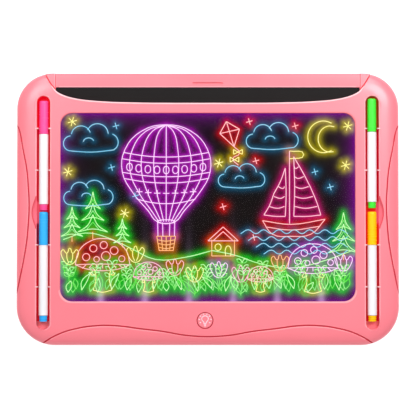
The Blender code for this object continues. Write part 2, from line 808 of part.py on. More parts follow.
def back_shell():
    """The back of the case: floor, lip, screw bosses, stand pocket, battery box and ribs."""
    rim = edge_rings(0, -SPLIT_Z, -BACK_Z, BACK_EDGE_REACH, BACK_EDGE_RISE)
    shell = loft("back_shell", [(points, -z) for points, z in reversed(rim)], shell_pink())
    hollow = prism("back_cavity", outline(SIDE_WALL), FLOOR_Z, SPLIT_Z + CUT_OVERRUN)
    combine(shell, [hollow], "DIFFERENCE")

    root_z = FLOOR_Z - JOIN_OVERLAP
    support_z = TRAY_LOW_Z - FIT
    lip_out = SIDE_WALL + FIT
    below = root_z - CUT_OVERRUN
    lip_top = SPLIT_Z + LIP_HEIGHT
    lip = prism("seam_lip", outline(lip_out), root_z, lip_top)
    lip_hollow = prism("lip_hollow", outline(lip_out + LIP_THICKNESS), below, lip_top + CUT_OVERRUN)
    combine(lip, [lip_hollow], "DIFFERENCE")
    joint = prism("lip_root", outline(SIDE_WALL - JOIN_OVERLAP), root_z, SPLIT_Z - FIT)
    joint_hollow = prism("lip_root_hollow", outline(lip_out + LIP_THICKNESS / 2), below, SPLIT_Z + CUT_OVERRUN)
    combine(joint, [joint_hollow], "DIFFERENCE")
    added = [lip, joint]
    for name, place in screw_places():
        added.append(peg(f"{name}_boss", place, BOSS_RADIUS, root_z, SPLIT_Z - FIT))

    pocket_half = STAND_WIDTH / 2 + FIT
    free_end = STAND_END_Y
    shroud_top = pocket_top() + POCKET_WALL
    added.append(
        block(
            "pocket_shroud",
            (-pocket_half - POCKET_WALL, free_end - FIT - POCKET_WALL, root_z),
            (pocket_half + POCKET_WALL, STAND_PIVOT_Y, shroud_top),
        )
    )
    added.append(
        block(
            "finger_shroud",
            (-FINGER_WIDTH / 2 - POCKET_WALL, free_end - FINGER_REACH - POCKET_WALL, root_z),
            (FINGER_WIDTH / 2 + POCKET_WALL, free_end, shroud_top),
        )
    )
    hub = KNUCKLE_RADIUS + FIT
    cradle = hub + POCKET_WALL
    added.append(
        block(
            "pivot_shroud",
            (-pocket_half - PIVOT_BLOCK, STAND_PIVOT_Y - cradle, root_z),
            (pocket_half + PIVOT_BLOCK, STAND_PIVOT_Y + cradle, stand_axis_z() + cradle),
        )
    )

    inner = box_half()
    door = door_plan()
    outer = (inner[0] + DOOR_LAP + BOX_WALL, inner[1] + DOOR_LAP + BOX_WALL)
    added.append(
        block(
            "battery_box",
            (-outer[0], BOX_CENTER_Y - outer[1], root_z),
            (outer[0], BOX_CENTER_Y + outer[1], support_z),
        )
    )
    boss_top = BACK_Z + DOOR_THICKNESS + PAD_RISE + FIT + DOOR_BOSS_HEIGHT
    added.append(peg("door_boss", (0, door_screw_y()), DOOR_BOSS_RADIUS, root_z, boss_top))
    rib_x = BOARD_HALF_WIDTH * RIB_PLACE_SHARE
    rib_half = SCREEN_HEIGHT * RIB_SPAN_SHARE / 2
    for side, sign in SIDES.items():
        added.append(
            block(
                f"support_rib_{side}",
                (sign * rib_x - RIB_THICKNESS / 2, -rib_half, root_z),
                (sign * rib_x + RIB_THICKNESS / 2, rib_half, support_z),
            )
        )
        added.append(
            block(
                f"strip_rib_{side}",
                (sign * rib_x / 2 - RIB_THICKNESS / 2, ARC_Y, root_z),
                (sign * rib_x / 2 + RIB_THICKNESS / 2, CARD_HIGH_Y, support_z),
            )
        )
    combine(shell, added, "UNION")

    under = BACK_Z - CUT_OVERRUN
    removed = [
        block(
            "stand_pocket",
            (-pocket_half, free_end - FIT, under),
            (pocket_half, STAND_PIVOT_Y, pocket_top()),
        ),
        block(
            "finger_pocket",
            (-FINGER_WIDTH / 2, free_end - FINGER_REACH, under),
            (FINGER_WIDTH / 2, free_end, pocket_top()),
        ),
        block(
            "knuckle_mouth",
            (-pocket_half, STAND_PIVOT_Y - hub, under),
            (pocket_half, STAND_PIVOT_Y + hub, stand_axis_z()),
        ),
    ]
    trough = turned(
        "knuckle_trough",
        [(0, -pocket_half), (hub, -pocket_half), (hub, pocket_half), (0, pocket_half)],
        BUTTON_SIDES,
        along_x(0, STAND_PIVOT_Y, stand_axis_z()),
    )
    pin_half = STAND_WIDTH / 2 + PIN_HOLD
    bore_half = pin_half + FIT
    pin_bore = turned(
        "pin_bore",
        [(0, -bore_half), (PIN_RADIUS + FIT, -bore_half), (PIN_RADIUS + FIT, bore_half), (0, bore_half)],
        POST_SIDES,
        along_x(0, STAND_PIVOT_Y, stand_axis_z()),
    )
    removed += [trough, pin_bore]
    low_y, high_y = BOX_CENTER_Y - inner[1], BOX_CENTER_Y + inner[1]
    removed.append(block("cell_room", (-inner[0], low_y, under), (inner[0], high_y, support_z + CUT_OVERRUN)))
    seat_z = DOOR_TOP_Z + FIT
    removed.append(
        block(
            "door_seat",
            (-door[0] - FIT, BOX_CENTER_Y - door[1] - FIT, under),
            (door[0] + FIT, BOX_CENTER_Y + door[1] + FIT, seat_z),
        )
    )
    tongue_end = BOX_CENTER_Y - door[1] - TONGUE_REACH
    removed.append(
        block(
            "tongue_seat",
            (-TONGUE_WIDTH / 2 - FIT, tongue_end - FIT, under),
            (TONGUE_WIDTH / 2 + FIT, BOX_CENTER_Y - door[1], seat_z),
        )
    )
    screw_place = (0, door_screw_y())
    removed.append(peg("pad_seat", screw_place, PAD_RADIUS + FIT + FIT, under, seat_z + PAD_RISE))
    removed.append(peg("door_boss_hole", screw_place, DOOR_BOSS_HOLE, under, boss_top + CUT_OVERRUN))
    for side, sign in SIDES.items():
        middle = sign * TAB_SPACING / 2
        reach = TAB_WIDTH / 2 + FIT
        removed.append(
            block(
                f"tab_slot_{side}",
                (middle - reach, BOX_CENTER_Y + inner[1] - CUT_OVERRUN, FLOOR_Z),
                (middle + reach, BOX_CENTER_Y + outer[1] + CUT_OVERRUN, FLOOR_Z + TAB_SLOT_HEIGHT),
            )
        )
    for name, low, high in wire_gates():
        removed.append(block(name, low, high))
    for name, place in screw_places():
        removed.append(peg(f"{name}_counterbore", place, SCREW_HEAD_RADIUS + FIT, under, BACK_Z + BOSS_WEB))
        removed.append(peg(f"{name}_hole", place, SCREW_RADIUS + FIT, under, SPLIT_Z + CUT_OVERRUN))
    for name, place in foot_places():
        removed.append(peg(f"{name}_seat", place, FOOT_RADIUS + FIT, under, BACK_Z + FOOT_SUNK, BUTTON_SIDES))
    combine(shell, removed, "DIFFERENCE")
    return shell


# Screen stack


def card_tray():
    """The inner plate behind the card: rails, guide walls, the strip above the card and the light ledge."""
    slope_end = CARD_HIGH_Y + STRIP_CHAMFER
    curve = arc_curve()
    shoulder = [(x + GUIDE_WALL, y) for x, y in curve if x > 0 and y > ARC_Y + ARC_RISE / 2]
    past = TOP_Y + CUT_OVERRUN
    half_plan = [(TRAY_HALF, TRAY_LOW_Y), (TRAY_HALF, shoulder[-1][1])] + shoulder[::-1]
    half_plan.append((shoulder[0][0], past))
    plan = half_plan + [(-x, y) for x, y in half_plan[::-1]]
    tray = prism("card_tray", plan, TRAY_LOW_Z, GUIDE_Z, shell_pink())
    bound = prism("tray_bound", outline(SIDE_WALL + FIT), TRAY_LOW_Z - CUT_OVERRUN, FRONT_Z)
    combine(tray, [bound], "INTERSECT")

    inner = lowered(curve, -FIT)
    skirt_plan = [(inner[0][0], past), (-inner[0][0], past)] + inner[::-1]
    skirt = prism("strip_skirt", skirt_plan, FRONT_LOW_Z, GUIDE_Z)
    skirt_bound = prism("skirt_bound", outline(0), FRONT_LOW_Z - CUT_OVERRUN, FRONT_Z)
    combine(skirt, [skirt_bound], "INTERSECT")
    rest = block(
        "skirt_rest",
        (-BOARD_HALF_WIDTH, ARC_Y - ARC_RISE, FRONT_LOW_Z - CUT_OVERRUN),
        (BOARD_HALF_WIDTH, TOP_Y - SIDE_WALL - TRAY_PLATE, FRONT_Z),
    )
    room = prism("skirt_hollow", outline(SIDE_WALL), FRONT_LOW_Z - CUT_OVERRUN, TRAY_LOW_Z + JOIN_OVERLAP)
    combine(skirt, [rest, room], "DIFFERENCE")
    ledge_top = GUIDE_Z + LEDGE_WALL_HEIGHT
    ledge = block("light_ledge", (-PANEL_HALF, TRAY_LOW_Y, TRAY_LOW_Z), (PANEL_HALF, LEDGE_FRONT_Y, ledge_top))
    combine(tray, [skirt, ledge], "UNION")

    over_top = TOP_Y + CUT_OVERRUN
    above = ledge_top + CUT_OVERRUN
    channel = block("card_channel", (-CHANNEL_HALF, CARD_LOW_Y - FIT, RAIL_Z), (CHANNEL_HALF, over_top, above))
    rise = STRIP_CHAMFER * (above - TRAY_FLOOR_Z) / TRAY_RAIL_STEP
    well_low = CARD_LOW_Y + TRAY_RAIL
    well = across_x(
        "card_well",
        [(well_low, TRAY_FLOOR_Z), (CARD_HIGH_Y, TRAY_FLOOR_Z), (CARD_HIGH_Y + rise, above), (well_low, above)],
        CHANNEL_HALF - TRAY_RAIL,
    )
    nail = block(
        "nail_slot",
        (-NAIL_SLOT_WIDTH / 2, slope_end, RAIL_Z - NAIL_SLOT_DEPTH),
        (NAIL_SLOT_WIDTH / 2, slope_end + NAIL_SLOT_HEIGHT, above),
    )
    gate = block(
        "wire_notch",
        (wire_x() - WIRE_RADIUS - CUT_OVERRUN, TRAY_LOW_Y - CUT_OVERRUN, GUIDE_Z),
        (wire_x() + WIRE_RADIUS + CUT_OVERRUN, LEDGE_FRONT_Y + CUT_OVERRUN, above),
    )
    combine(tray, [channel, well, nail, gate], "DIFFERENCE")
    return tray


def drawing_panel():
    middle_y = (PANEL_LOW_Y + PANEL_HIGH_Y) / 2
    half = (PANEL_HALF, (PANEL_HIGH_Y - PANEL_LOW_Y) / 2)
    plan = rounded((0, middle_y), half, PANEL_CORNER)
    return prism("drawing_panel", plan, PANEL_LOW_Z, PANEL_HIGH_Z, clear_acrylic())


def backing_card():
    middle_y = (CARD_LOW_Y + CARD_HIGH_Y) / 2
    half = (CARD_HALF, (CARD_HIGH_Y - CARD_LOW_Y) / 2)
    plan = rounded((0, middle_y), half, CARD_CORNER)
    card = prism("backing_card", plan, CARD_LOW_Z, GUIDE_Z, card_black())
    hang(pivot("card_slide_axis", (0, middle_y, CARD_LOW_Z)), card)
    return card


def led_x(index):
    return LED_SHIFT + (index - (LED_COUNT - 1) / 2) * LED_PITCH


def light_strip():
    """The strip board along the panel's lower edge, with its LEDs facing into the panel."""
    low_z = GUIDE_Z + FIT
    left = led_x(0) - LED_PITCH * STRIP_END_SHARE
    right = led_x(LED_COUNT - 1) + LED_PITCH * STRIP_END_SHARE
    top_z = low_z + STRIP_BOARD_HEIGHT
    strip = block("led_strip", (left, STRIP_BACK_Y, low_z), (right, STRIP_FRONT_Y, top_z), circuit_green())
    middle = low_z + STRIP_BOARD_HEIGHT / 2
    lamps = []
    for index in range(LED_COUNT):
        x = led_x(index)
        lamps.append(
            block(
                f"led_{index}",
                (x - LED_WIDTH / 2, STRIP_FRONT_Y - STRIP_BOARD / 2, middle - LED_HEIGHT / 2),
                (x + LED_WIDTH / 2, LED_FACE_Y, middle + LED_HEIGHT / 2),
            )
        )
    combine(strip, lamps, "UNION")
    return strip


# Button and electronics


def button_stem_low():
    return BEZEL_LOW_Z - FIT - FLANGE_THICKNESS - JOIN_OVERLAP


def pcb_top():
    """The height of the main board's upper face, below the switch and the button's stem."""
    return button_stem_low() - FIT - PLUNGER_SHOW - SWITCH_HEIGHT - FIT


def light_button():
    """The round button: crowned cap, retaining flange and stem."""
    flange_top = BEZEL_LOW_Z - FIT
    flange_low = flange_top - FLANGE_THICKNESS
    top = FRONT_Z + BUTTON_PROUD
    profile = [
        (0, button_stem_low()),
        (STEM_RADIUS, button_stem_low()),
        (STEM_RADIUS, flange_low),
        (BUTTON_RADIUS + FLANGE_LAP, flange_low),
        (BUTTON_RADIUS + FLANGE_LAP, flange_top),
        (BUTTON_RADIUS, flange_top),
        (BUTTON_RADIUS, top - BUTTON_EDGE),
        (BUTTON_RADIUS - BUTTON_EDGE, top),
        (0, top),
    ]
    return turned("light_button", profile, BUTTON_SIDES, upright(BUTTON_X, BUTTON_Y), shell_pink())


def switch():
    """The switch housing on the main board and the plunger that the button presses."""
    low = pcb_top() + FIT
    high = low + SWITCH_HEIGHT
    half = SWITCH_SIDE / 2
    housing = block(
        "switch_housing",
        (BUTTON_X - half, BUTTON_Y - half, low),
        (BUTTON_X + half, BUTTON_Y + half, high),
        dark_plastic(),
    )
    bore = peg("plunger_bore", (BUTTON_X, BUTTON_Y), PLUNGER_RADIUS + FIT, low + SWITCH_FLOOR, high + CUT_OVERRUN)
    combine(housing, [bore], "DIFFERENCE")
    top = high + PLUNGER_SHOW
    profile = [
        (0, top - PLUNGER_LENGTH),
        (PLUNGER_RADIUS, top - PLUNGER_LENGTH),
        (PLUNGER_RADIUS, top),
        (0, top),
    ]
    return turned("switch_plunger", profile, POST_SIDES, upright(BUTTON_X, BUTTON_Y), dark_plastic())


def button_group():
    button = light_button()
    plunger = switch()
    hang(pivot("light_button_axis", (BUTTON_X, BUTTON_Y, FRONT_Z)), button, plunger)


def main_board():
    """The circuit board below the button, with its chip and the two posts' screw holes."""
    high = pcb_top()
    low = high - BOARD_THICKNESS
    half = (PCB_LENGTH / 2, PCB_DEPTH / 2)
    board = block(
        "main_pcb",
        (BUTTON_X - half[0], BUTTON_Y - half[1], low),
        (BUTTON_X + half[0], BUTTON_Y + half[1], high),
        circuit_green(),
    )
    chip_x = BUTTON_X - (SWITCH_SIDE + PCB_POST_SPAN) / 4
    chip = block(
        "chip",
        (chip_x - CHIP_LENGTH / 2, BUTTON_Y - CHIP_DEPTH / 2, high - BOARD_THICKNESS / 2),
        (chip_x + CHIP_LENGTH / 2, BUTTON_Y + CHIP_DEPTH / 2, high + CHIP_HEIGHT),
    )
    combine(board, [chip], "UNION")
    holes = []
    for side, place in pcb_post_places():
        holes.append(
            peg(f"pcb_hole_{side}", place, SCREW_RADIUS + FIT, low - CUT_OVERRUN, high + CUT_OVERRUN)
        )
        fastener(f"pcb_screw_{side}", place, low - FIT - SCREW_HEAD_HEIGHT, SCREW_LENGTH / 2)
    combine(board, holes, "DIFFERENCE")


# Battery box


def cell_y(index):
    return BOX_CENTER_Y + (index - (CELL_COUNT - 1) / 2) * (CELL_DIAMETER + CELL_SPACING)


def cell_z():
    return CELL_LOW_Z + CELL_DIAMETER / 2


def cell_direction(index):
    """The cells lie in series, so every other one is turned round."""
    return 1 if index % 2 == 0 else -1


def cells():
    radius = CELL_DIAMETER / 2
    shoulder = CELL_LENGTH / 2
    for index in range(CELL_COUNT):
        profile = [
            (0, -shoulder),
            (radius, -shoulder),
            (radius, shoulder),
            (CELL_NUB_RADIUS, shoulder),
            (CELL_NUB_RADIUS, shoulder + CELL_NUB_LENGTH),
            (0, shoulder + CELL_NUB_LENGTH),
        ]
        turn = Matrix.Rotation(math.radians(90) * cell_direction(index), 4, "Y")
        place = Matrix.Translation((0, cell_y(index), cell_z())) @ turn
        turned(f"battery_{index + 1}", profile, CELL_SIDES, place, cell_wrap())


def contact(name, side, first, last):
    """A plated contact at one end of the battery box, with a spring or a dimple for each cell it serves."""
    half = CONTACT_HEIGHT / 2
    wall = side * (box_half()[0] - FIT)
    face = wall - side * CONTACT_PLATE
    reach = CELL_DIAMETER / 2 - CELL_SPACING
    plate = block(
        name,
        (min(wall, face), cell_y(first) - reach, cell_z() - half),
        (max(wall, face), cell_y(last) + reach, cell_z() + half),
        steel(),
    )
    bumps = []
    for index in range(first, last + 1):
        meets_nub = cell_direction(index) == side
        end = CELL_LENGTH / 2 + (CELL_NUB_LENGTH if meets_nub else 0) + FIT
        radius = CELL_NUB_RADIUS if meets_nub else SPRING_RADIUS
        depth = abs(face) - end
        root = CONTACT_PLATE / 2
        profile = [(0, -root), (radius, -root), (radius, 0), (radius / 2, depth), (0, depth)]
        turn = Matrix.Rotation(math.radians(-90) * side, 4, "Y")
        place = Matrix.Translation((face, cell_y(index), cell_z())) @ turn
        bumps.append(turned(f"{name}_bump_{index}", profile, POST_SIDES, place))
    combine(plate, bumps, "UNION")


def battery_door():
    """The door plate with two tabs at its upper edge and a screwed tongue at its lower edge."""
    half = door_plan()
    low_y, high_y = BOX_CENTER_Y - half[1], BOX_CENTER_Y + half[1]
    door = block("battery_door", (-half[0], low_y, BACK_Z), (half[0], high_y, DOOR_TOP_Z), shell_pink())
    tongue_low = (-TONGUE_WIDTH / 2, low_y - TONGUE_REACH, BACK_Z)
    added = [block("tongue", tongue_low, (TONGUE_WIDTH / 2, low_y + JOIN_OVERLAP, DOOR_TOP_Z))]
    added.append(peg("pad", (0, door_screw_y()), PAD_RADIUS, BACK_Z + JOIN_OVERLAP, DOOR_TOP_Z + PAD_RISE))
    tab_low = FLOOR_Z + FIT
    root_y = BOX_CENTER_Y + box_half()[1] - TAB_THICKNESS
    for side, sign in SIDES.items():
        middle = sign * TAB_SPACING / 2
        left, right = middle - TAB_WIDTH / 2, middle + TAB_WIDTH / 2
        riser_y = BOX_CENTER_Y + box_half()[1] - FIT
        riser_low = BACK_Z + JOIN_OVERLAP
        added.append(block(f"riser_{side}", (left, root_y, riser_low), (right, riser_y, tab_low + TAB_THICKNESS)))
        tab_end = high_y + TAB_REACH
        added.append(
            block(
                f"tab_{side}",
                (left, root_y + TAB_THICKNESS / 2, tab_low),
                (right, tab_end, tab_low + TAB_THICKNESS * 3 / 4),
            )
        )
    combine(door, added, "UNION")
    place = (0, door_screw_y())
    top = DOOR_TOP_Z + PAD_RISE + CUT_OVERRUN
    removed = [
        peg("door_screw_hole", place, SCREW_RADIUS + FIT, BACK_Z - CUT_OVERRUN, top),
        peg("door_screw_seat", place, SCREW_HEAD_RADIUS + FIT, BACK_Z - CUT_OVERRUN, BACK_Z + SCREW_HEAD_HEIGHT),
    ]
    combine(door, removed, "DIFFERENCE")
    screw_z = BACK_Z + SCREW_HEAD_HEIGHT - FIT - SCREW_HEAD_HEIGHT * 3 / 4
    screw = fastener("battery_door_screw", place, screw_z, DOOR_BOSS_HEIGHT, SCREW_HEAD_HEIGHT * 3 / 4)
    hinge = pivot("battery_door_axis", (0, high_y, BACK_Z))
    turn = pivot("door_screw_axis", (*place, BACK_Z))
    hang(hinge, door, turn)
    hang(turn, screw)


# Stand, feet and fasteners


def kickstand():
    """The fold-out leg with its knuckle, window and hinge pin."""
    half = STAND_WIDTH / 2
    low_z = BACK_Z + STAND_SUNK
    end = STAND_END_Y
    plan = (
        arc_points((-half + STAND_CORNER, end + STAND_CORNER), STAND_CORNER, 180, 90, SMALL_CORNER_STEPS)
        + arc_points((half - STAND_CORNER, end + STAND_CORNER), STAND_CORNER, 270, 90, SMALL_CORNER_STEPS)
        + [(half, STAND_PIVOT_Y), (-half, STAND_PIVOT_Y)]
    )
    leg = prism("kickstand", plan, low_z, low_z + STAND_THICKNESS, shell_pink())
    axis = along_x(0, STAND_PIVOT_Y, stand_axis_z())
    knuckle = turned(
        "knuckle",
        [(0, -half), (KNUCKLE_RADIUS, -half), (KNUCKLE_RADIUS, half), (0, half)],
        POST_SIDES,
        axis,
    )
    combine(leg, [knuckle], "UNION")
    hole = turned(
        "knuckle_bore",
        [
            (0, -half - CUT_OVERRUN),
            (PIN_RADIUS + FIT, -half - CUT_OVERRUN),
            (PIN_RADIUS + FIT, half + CUT_OVERRUN),
            (0, half + CUT_OVERRUN),
        ],
        POST_SIDES,
        axis,
    )
    window_half = (
        half * STAND_WINDOW_SHARE,
        (STAND_LENGTH - STAND_WINDOW_START - STAND_WINDOW_END) / 2,
    )
    window_y = STAND_PIVOT_Y - STAND_WINDOW_START - window_half[1]
    window = rounded((0, window_y), window_half, STAND_CORNER / 2)
    combine(
        leg,
        [hole, prism("stand_window", window, low_z - CUT_OVERRUN, low_z + STAND_THICKNESS + CUT_OVERRUN)],
        "DIFFERENCE",
    )
    pin_half = half + PIN_HOLD
    turned(
        "kickstand_pin",
        [(0, -pin_half), (PIN_RADIUS, -pin_half), (PIN_RADIUS, pin_half), (0, pin_half)],
        POST_SIDES,
        axis,
        steel(),
    )
    hang(pivot("kickstand_axis", (0, STAND_PIVOT_Y, stand_axis_z())), leg)


def rubber_feet():
    for name, (x, y) in foot_places():
        top = BACK_Z + FOOT_SUNK - FIT
        edge = FOOT_PROUD / 2
        profile = [(0, 0), (FOOT_RADIUS - edge, 0), (FOOT_RADIUS, edge), (FOOT_RADIUS, top), (0, top)]
        turned(name, profile, CELL_SIDES, upright(x, y), foot_rubber())


def fastener(name, place, low, length, head=SCREW_HEAD_HEIGHT):
    """A screw driven from behind: domed head with a socket, shank and point."""
    head_top = low + head
    tip = head_top + length
    profile = [
        (0, low + SCREW_SOCKET),
        (SCREW_HEAD_RADIUS / 2, low),
        (SCREW_HEAD_RADIUS - head / 3, low),
        (SCREW_HEAD_RADIUS, low + head / 3),
        (SCREW_HEAD_RADIUS, head_top),
        (SCREW_RADIUS, head_top),
        (SCREW_RADIUS, tip - SCREW_RADIUS),
        (0, tip),
    ]
    return turned(name, profile, POST_SIDES, upright(*place), steel())


def case_screws():
    for name, place in screw_places():
        low = screw_low() - FIT
        fastener(name, place, low, SCREW_LENGTH)


# Pens


def pen(name):
    """One pen, cap upwards: cap, barrel, end plug, ink reservoir and nib, all about one axis along Y."""
    side, level = PENS[name]
    x = SIDES[side] * SLOT_X
    top = SLOT_HIGH_Y - PEN_TOP_ROOM
    if level == "lower":
        top -= PEN_LENGTH + PEN_GAP
    place = along_y(x, top, PEN_Z)
    plastic = pen_plastic(name)

    cap_radius = CAP_DIAMETER / 2
    bore = cap_radius - CAP_WALL
    cap = turned(
        name + "_cap",
        [
            (0, 0),
            (cap_radius - CAP_EDGE, 0),
            (cap_radius, CAP_EDGE),
            (cap_radius, CAP_LENGTH - FIT),
            (bore, CAP_LENGTH - FIT),
            (bore, CAP_CROWN),
            (0, CAP_CROWN),
        ],
        PEN_SIDES,
        place,
        plastic,
    )

    outer = BARREL_DIAMETER / 2
    inner = outer - BARREL_WALL
    neck = CAP_LENGTH - NECK_LENGTH
    nose = neck - NOSE_LENGTH
    barrel_end = CAP_LENGTH + BARREL_LENGTH - FIT
    nib_hole = NIB_DIAMETER / 2 + FIT
    neck_bore = NECK_DIAMETER / 2 - BARREL_WALL
    barrel = turned(
        name + "_barrel",
        [
            (nib_hole, nose),
            (NOSE_DIAMETER / 2, nose),
            (NECK_DIAMETER / 2, neck),
            (NECK_DIAMETER / 2, CAP_LENGTH),
            (outer, CAP_LENGTH),
            (outer, barrel_end),
            (inner, barrel_end),
            (inner, CAP_LENGTH + BARREL_WALL),
            (neck_bore, CAP_LENGTH),
            (neck_bore, neck + BARREL_WALL),
            (nib_hole, neck + BARREL_WALL),
        ],
        PEN_SIDES,
        place,
        barrel_white(),
    )

    plug_radius = PLUG_DIAMETER / 2
    stem = inner - FIT
    plug_low = CAP_LENGTH + BARREL_LENGTH
    pen_end = plug_low + PLUG_LENGTH
    plug = turned(
        name + "_plug",
        [
            (0, plug_low - PLUG_STEM_LENGTH),
            (stem, plug_low - PLUG_STEM_LENGTH),
            (stem, plug_low),
            (plug_radius, plug_low),
            (plug_radius, plug_low + PLUG_STEP_LENGTH),
            (plug_radius - CAP_EDGE / 2, plug_low + PLUG_STEP_LENGTH + CAP_EDGE),
            (plug_radius - CAP_EDGE / 2, pen_end - CAP_EDGE),
            (plug_radius - CAP_EDGE, pen_end),
            (0, pen_end),
        ],
        PEN_SIDES,
        place,
        plastic,
    )

    wick_low = CAP_LENGTH + BARREL_WALL + FIT + FIT
    wick_high = plug_low - PLUG_STEM_LENGTH - FIT
    wick_radius = inner - FIT
    reservoir = turned(
        name + "_reservoir",
        [(0, wick_low), (wick_radius, wick_low), (wick_radius, wick_high), (0, wick_high)],
        POST_SIDES,
        place,
        nib_felt(),
    )

    nib_radius = NIB_DIAMETER / 2
    point = nose - NIB_REACH
    nib = turned(
        name + "_nib",
        [
            (0, point),
            (nib_radius / 2, point + nib_radius / 3),
            (nib_radius, point + nib_radius * 2),
            (nib_radius, wick_low - RESERVOIR_TO_NIB),
            (0, wick_low - RESERVOIR_TO_NIB),
        ],
        POST_SIDES,
        place,
        plastic,
    )
    middle_y = top - PEN_LENGTH / 2
    hang(pivot(name + "_lift", (x, middle_y, PEN_Z)), cap, barrel, plug, reservoir, nib)


# Wires that lie inside the case


def wire_x():
    """Where the light strip's lead crosses the tray's ledge."""
    return led_x(LED_COUNT // 2) - LED_PITCH / 4


def wire_gates():
    """Cuts in the battery box's end wall for the two battery leads."""
    gate = WIRE_RADIUS + FIT
    for name, y in (("gate_lower", cell_y(0)), ("gate_upper", cell_y(CELL_COUNT - 1))):
        yield (
            name,
            (box_half()[0] - CUT_OVERRUN, y - gate, cell_z() - gate),
            (box_half()[0] + DOOR_LAP + BOX_WALL + CUT_OVERRUN, y + gate, cell_z() + gate),
        )


def wire(name, points, material):
    """A tube through a smooth curve, with closed ends."""
    route = smooth_through(points, CURVE_STEPS + 1)
    curve = bpy.data.curves.new(name, "CURVE")
    curve.dimensions = "3D"
    spline = curve.splines.new("POLY")
    spline.points.add(len(route) - 1)
    for point, place in zip(spline.points, route):
        point.co = (*place, 1)
    curve.bevel_depth = WIRE_RADIUS
    curve.bevel_resolution = 1
    curve.use_fill_caps = True
    curve.materials.append(material)
    obj = bpy.data.objects.new(name, curve)
    bpy.context.scene.collection.objects.link(obj)
    return obj


def battery_lead(name, y, lane_index, material):
    """A lead from a contact, past the stand's pocket, to the underside of the main board."""
    start_x = box_half()[0]
    wall_x = start_x + DOOR_LAP + BOX_WALL
    reach = lane_index * LEAD_PITCH
    lane = wall_x + reach
    level = cell_z()
    end_x = BUTTON_X + PCB_LENGTH / 4
    end_y = BUTTON_Y + PCB_DEPTH / 4 - reach
    end_z = pcb_top() - BOARD_THICKNESS - FIT
    points = [
        (start_x, y, level),
        (wall_x, y, level),
        (lane, y - LEAD_PITCH, level),
        (lane, STAND_PIVOT_Y, level),
        (lane, end_y + LEAD_BEND, level),
        (lane - LEAD_BEND, end_y, level),
        (end_x + LEAD_PITCH, end_y, level),
        (end_x, end_y, (level + end_z) / 2),
        (end_x, end_y, end_z),
    ]
    wire(name, points, material)


def leads():
    x = wire_x()
    mid_z = GUIDE_Z + FIT + STRIP_BOARD_HEIGHT / 2
    board_z = pcb_top() + FIT
    start = (x, STRIP_BACK_Y - FIT, mid_z)
    end = (x, BUTTON_Y + PCB_DEPTH / 4, board_z)
    points = [
        start,
        (x, TRAY_LOW_Y, mid_z),
        (x, (TRAY_LOW_Y + end[1]) / 2, (mid_z + board_z) / 2),
        (x, end[1], board_z + PLUNGER_SHOW),
        end,
    ]
    wire("led_lead", points, wire_jacket("lead_white", (0.85, 0.85, 0.83)))
    red = wire_jacket("lead_red", (0.65, 0.02, 0.02))
    black = wire_jacket("lead_black", (0.02, 0.02, 0.02))
    battery_lead("battery_lead_red", cell_y(0), 1, red)
    battery_lead("battery_lead_black", cell_y(CELL_COUNT - 1), 2, black)


def main():
    for obj in list(bpy.data.objects):
        bpy.data.objects.remove(obj, do_unlink=True)
    front_shell()
    back_shell()
    card_tray()
    drawing_panel()
    backing_card()
    light_strip()
    button_group()
    main_board()
    cells()
    contact("contact_left_pair", -1, 0, 1)
    contact("contact_left_end", -1, 2, 2)
    contact("contact_right_end", 1, 0, 0)
    contact("contact_right_pair", 1, 1, 2)
    battery_door()
    kickstand()
    rubber_feet()
    case_screws()
    for name in PENS:
        pen(name)
    leads()


main()
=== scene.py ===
"""Dresses the led writing board: case, lit screen with its ink drawing, pens, button, stand and battery bay.

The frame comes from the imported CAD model. The board lies on its back: +Z leaves its face and +Y points to
its top edge. Lengths are metres, and the drawing on the screen is set out in millimetres.
"""

import logging
import math
import random
from contextlib import contextmanager
from dataclasses import dataclass, field
from enum import Enum
from functools import cache
from typing import Callable, Iterator, Sequence

import bmesh
import bpy
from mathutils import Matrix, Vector
from mathutils.kdtree import KDTree


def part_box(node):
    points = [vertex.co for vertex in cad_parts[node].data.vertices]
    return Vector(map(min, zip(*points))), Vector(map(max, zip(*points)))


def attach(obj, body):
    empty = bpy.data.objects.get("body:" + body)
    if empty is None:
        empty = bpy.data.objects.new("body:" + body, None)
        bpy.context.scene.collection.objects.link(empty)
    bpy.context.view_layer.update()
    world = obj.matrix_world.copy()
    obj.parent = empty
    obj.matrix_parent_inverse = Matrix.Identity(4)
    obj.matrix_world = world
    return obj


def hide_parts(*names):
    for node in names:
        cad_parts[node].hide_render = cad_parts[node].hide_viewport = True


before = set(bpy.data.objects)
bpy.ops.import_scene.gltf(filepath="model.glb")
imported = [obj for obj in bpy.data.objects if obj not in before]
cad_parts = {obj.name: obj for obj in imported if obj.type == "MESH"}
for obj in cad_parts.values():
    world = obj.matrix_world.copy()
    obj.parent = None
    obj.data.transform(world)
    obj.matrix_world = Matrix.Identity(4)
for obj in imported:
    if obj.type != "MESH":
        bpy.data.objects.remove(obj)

LOG = logging.getLogger("writing_board")
MM = 0.001
TINY = 0.00001
PAST = 0.001
FLAT = 0.9
LEFT_IN_REACH = 0.3679

Plan = tuple[float, float]
Place = tuple[float, float, float]
Color = tuple[float, float, float]
Piece = bpy.types.Object
Socket = bpy.types.NodeSocket
Value = float | Color | Socket
Element = bmesh.types.BMVert | bmesh.types.BMEdge | bmesh.types.BMFace
Test = Callable[..., bool]

BLACK: Color = (0.0, 0.0, 0.0)
FULL: Color = (1.0, 1.0, 1.0)


# The board's sizes


class Side(Enum):
    """The two sides of the board, with the sign of X on each."""

    LEFT = -1
    RIGHT = 1

    @property
    def word(self) -> str:
        """The side's name in small letters."""
        return self.name.lower()


